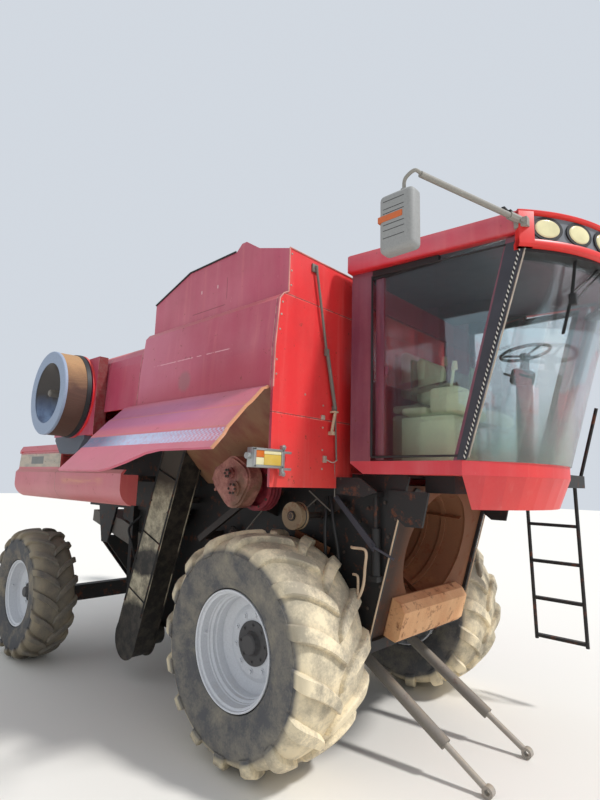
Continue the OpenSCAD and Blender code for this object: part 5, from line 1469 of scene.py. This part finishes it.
# %% Edges and gusset of the open front
up_front = (math.sin(LEAN), 0, math.cos(LEAN))
out_of_front = (math.cos(LEAN), 0, -math.sin(LEAN))
front_plane = Matrix(((0, 1, 0), up_front, out_of_front)).transposed().to_4x4()
front_plane = Matrix.Translation(at_axle(*FRONT_FOOT)) @ front_plane


def on_front(out, y, up):
    """A point given from the leaning front's foot: out from its plane, across, and up along it."""
    return front_plane @ Vector((y, up, out))


gusset = Work()
gusset.cut_sheet([(-0.760, 1.010), (-0.590, 1.235), (-0.430, 1.205), (-0.330, 0.930), (-0.400, 0.925)],
                 0.008, front_plane @ Matrix.Translation((0, 0, -0.026)))
gusset.bolts([on_front(-0.018, -0.58, 1.16), on_front(-0.018, -0.44, 1.14)], (1, 0, -0.28), across=0.022)
gusset.done("mouth_gusset", black_frame)
side_sheet = 0.792
edges = Work()
for sign in (-1, 1):
    edges.pipe([on_front(0.004, sign * side_sheet, 0.02), on_front(0.004, sign * side_sheet, 1.10)], 0.007,
               sides=6)
edges.done("front_edges", bone)

# %% Bolts of the side sheets
SHEET_BOLTS = [(0.16, 1.98), (0.30, 1.98), (0.44, 1.93), (0.16, 1.70), (0.16, 1.45), (0.58, 1.96),
               (0.66, 1.86), (0.74, 1.97), (0.90, 2.02), (1.00, 1.90), (0.93, 1.76), (0.62, 1.12),
               (0.74, 1.20), (0.86, 1.38), (0.56, 1.30), (0.50, 1.60)]
BRACKET_BOLTS = [(0.58, 2.20), (0.62, 2.12), (0.76, 2.14), (0.86, 2.12)]
sheet_bolts = Work()
sheet_bolts.bolts([(x, -side_sheet, z) for x, z in SHEET_BOLTS], RIGHT, across=0.016)
sheet_bolts.bolts([(x, -0.946, z) for x, z in BRACKET_BOLTS], RIGHT, across=0.014)
sheet_bolts.done("sheet_bolts", greasy_iron)

# %% [markdown]
# ## Elevator edges
# Each elevator is a long box of sheet. Its lids are closed by angle irons along the edges, and
# straps hold the lids across.

# %% Elevator edges
foot, head = at_axle(-2.170, 0, 0.430), at_axle(-1.400, 0, 2.640)
run = (head - foot).normalized()
square = Vector((run.z, 0, -run.x))
lid_y = 1.203
elevator_irons = Work()
for offset in (-0.186, 0.186):
    for sign in (-1, 1):
        line = square * offset + Vector((0, sign * lid_y, 0))
        elevator_irons.pipe([foot + line + run * 0.35, head + line - run * 0.15], 0.013, sides=4)
for share in (0.22, 0.50, 0.80):
    for sign in (-1, 1):
        centre = foot.lerp(head, share) + Vector((0, sign * (lid_y + 0.003), 0))
        elevator_irons.pipe([centre + square * 0.18, centre - square * 0.18], 0.009, sides=4)
elevator_irons.bolts([foot.lerp(head, share) + square * offset - Vector((0, lid_y, 0))
                      for share in (0.22, 0.36, 0.50, 0.65, 0.80) for offset in (-0.172, 0.172)],
                     RIGHT, across=0.014)
elevator_irons.done("elevator_irons", black_frame)

# %% [markdown]
# ## Floor and light
# A pale floor and an even surround keep the colours honest. The key light comes from the front and a
# little from the left, high up, so the faces that look forward are bright and the long right side
# lies in soft shade.

# %% Floor
floor_bm = bmesh.new()
bmesh.ops.create_grid(floor_bm, x_segments=1, y_segments=1, size=60)
floor_mesh = bpy.data.meshes.new("floor")
floor_bm.to_mesh(floor_mesh)
floor_bm.free()
floor_mesh.materials.append(Finish("pale floor", Roughness=0.9, Base_Color=tone(232, 228, 220)).material)
floor = bpy.data.objects.new("floor", floor_mesh)
bpy.context.scene.collection.objects.link(floor)

# %% Light
world = bpy.data.worlds.new("studio")
world.use_nodes = True
bpy.context.scene.world = world
surround = world.node_tree.nodes["Background"].inputs
surround["Color"].default_value = (0.86, 0.92, 1.0, 1)
surround["Strength"].default_value = 0.75
key_data = bpy.data.lights.new("key", "SUN")
key_data.energy = 2.6
key_data.angle = math.radians(6)
key = bpy.data.objects.new("key", key_data)
key_from = Vector((1.0, 0.35, 1.25))
key.rotation_euler = key_from.to_track_quat("Z", "Y").to_euler()
bpy.context.scene.collection.objects.link(key)
bpy.context.scene.view_settings.view_transform = "Standard"
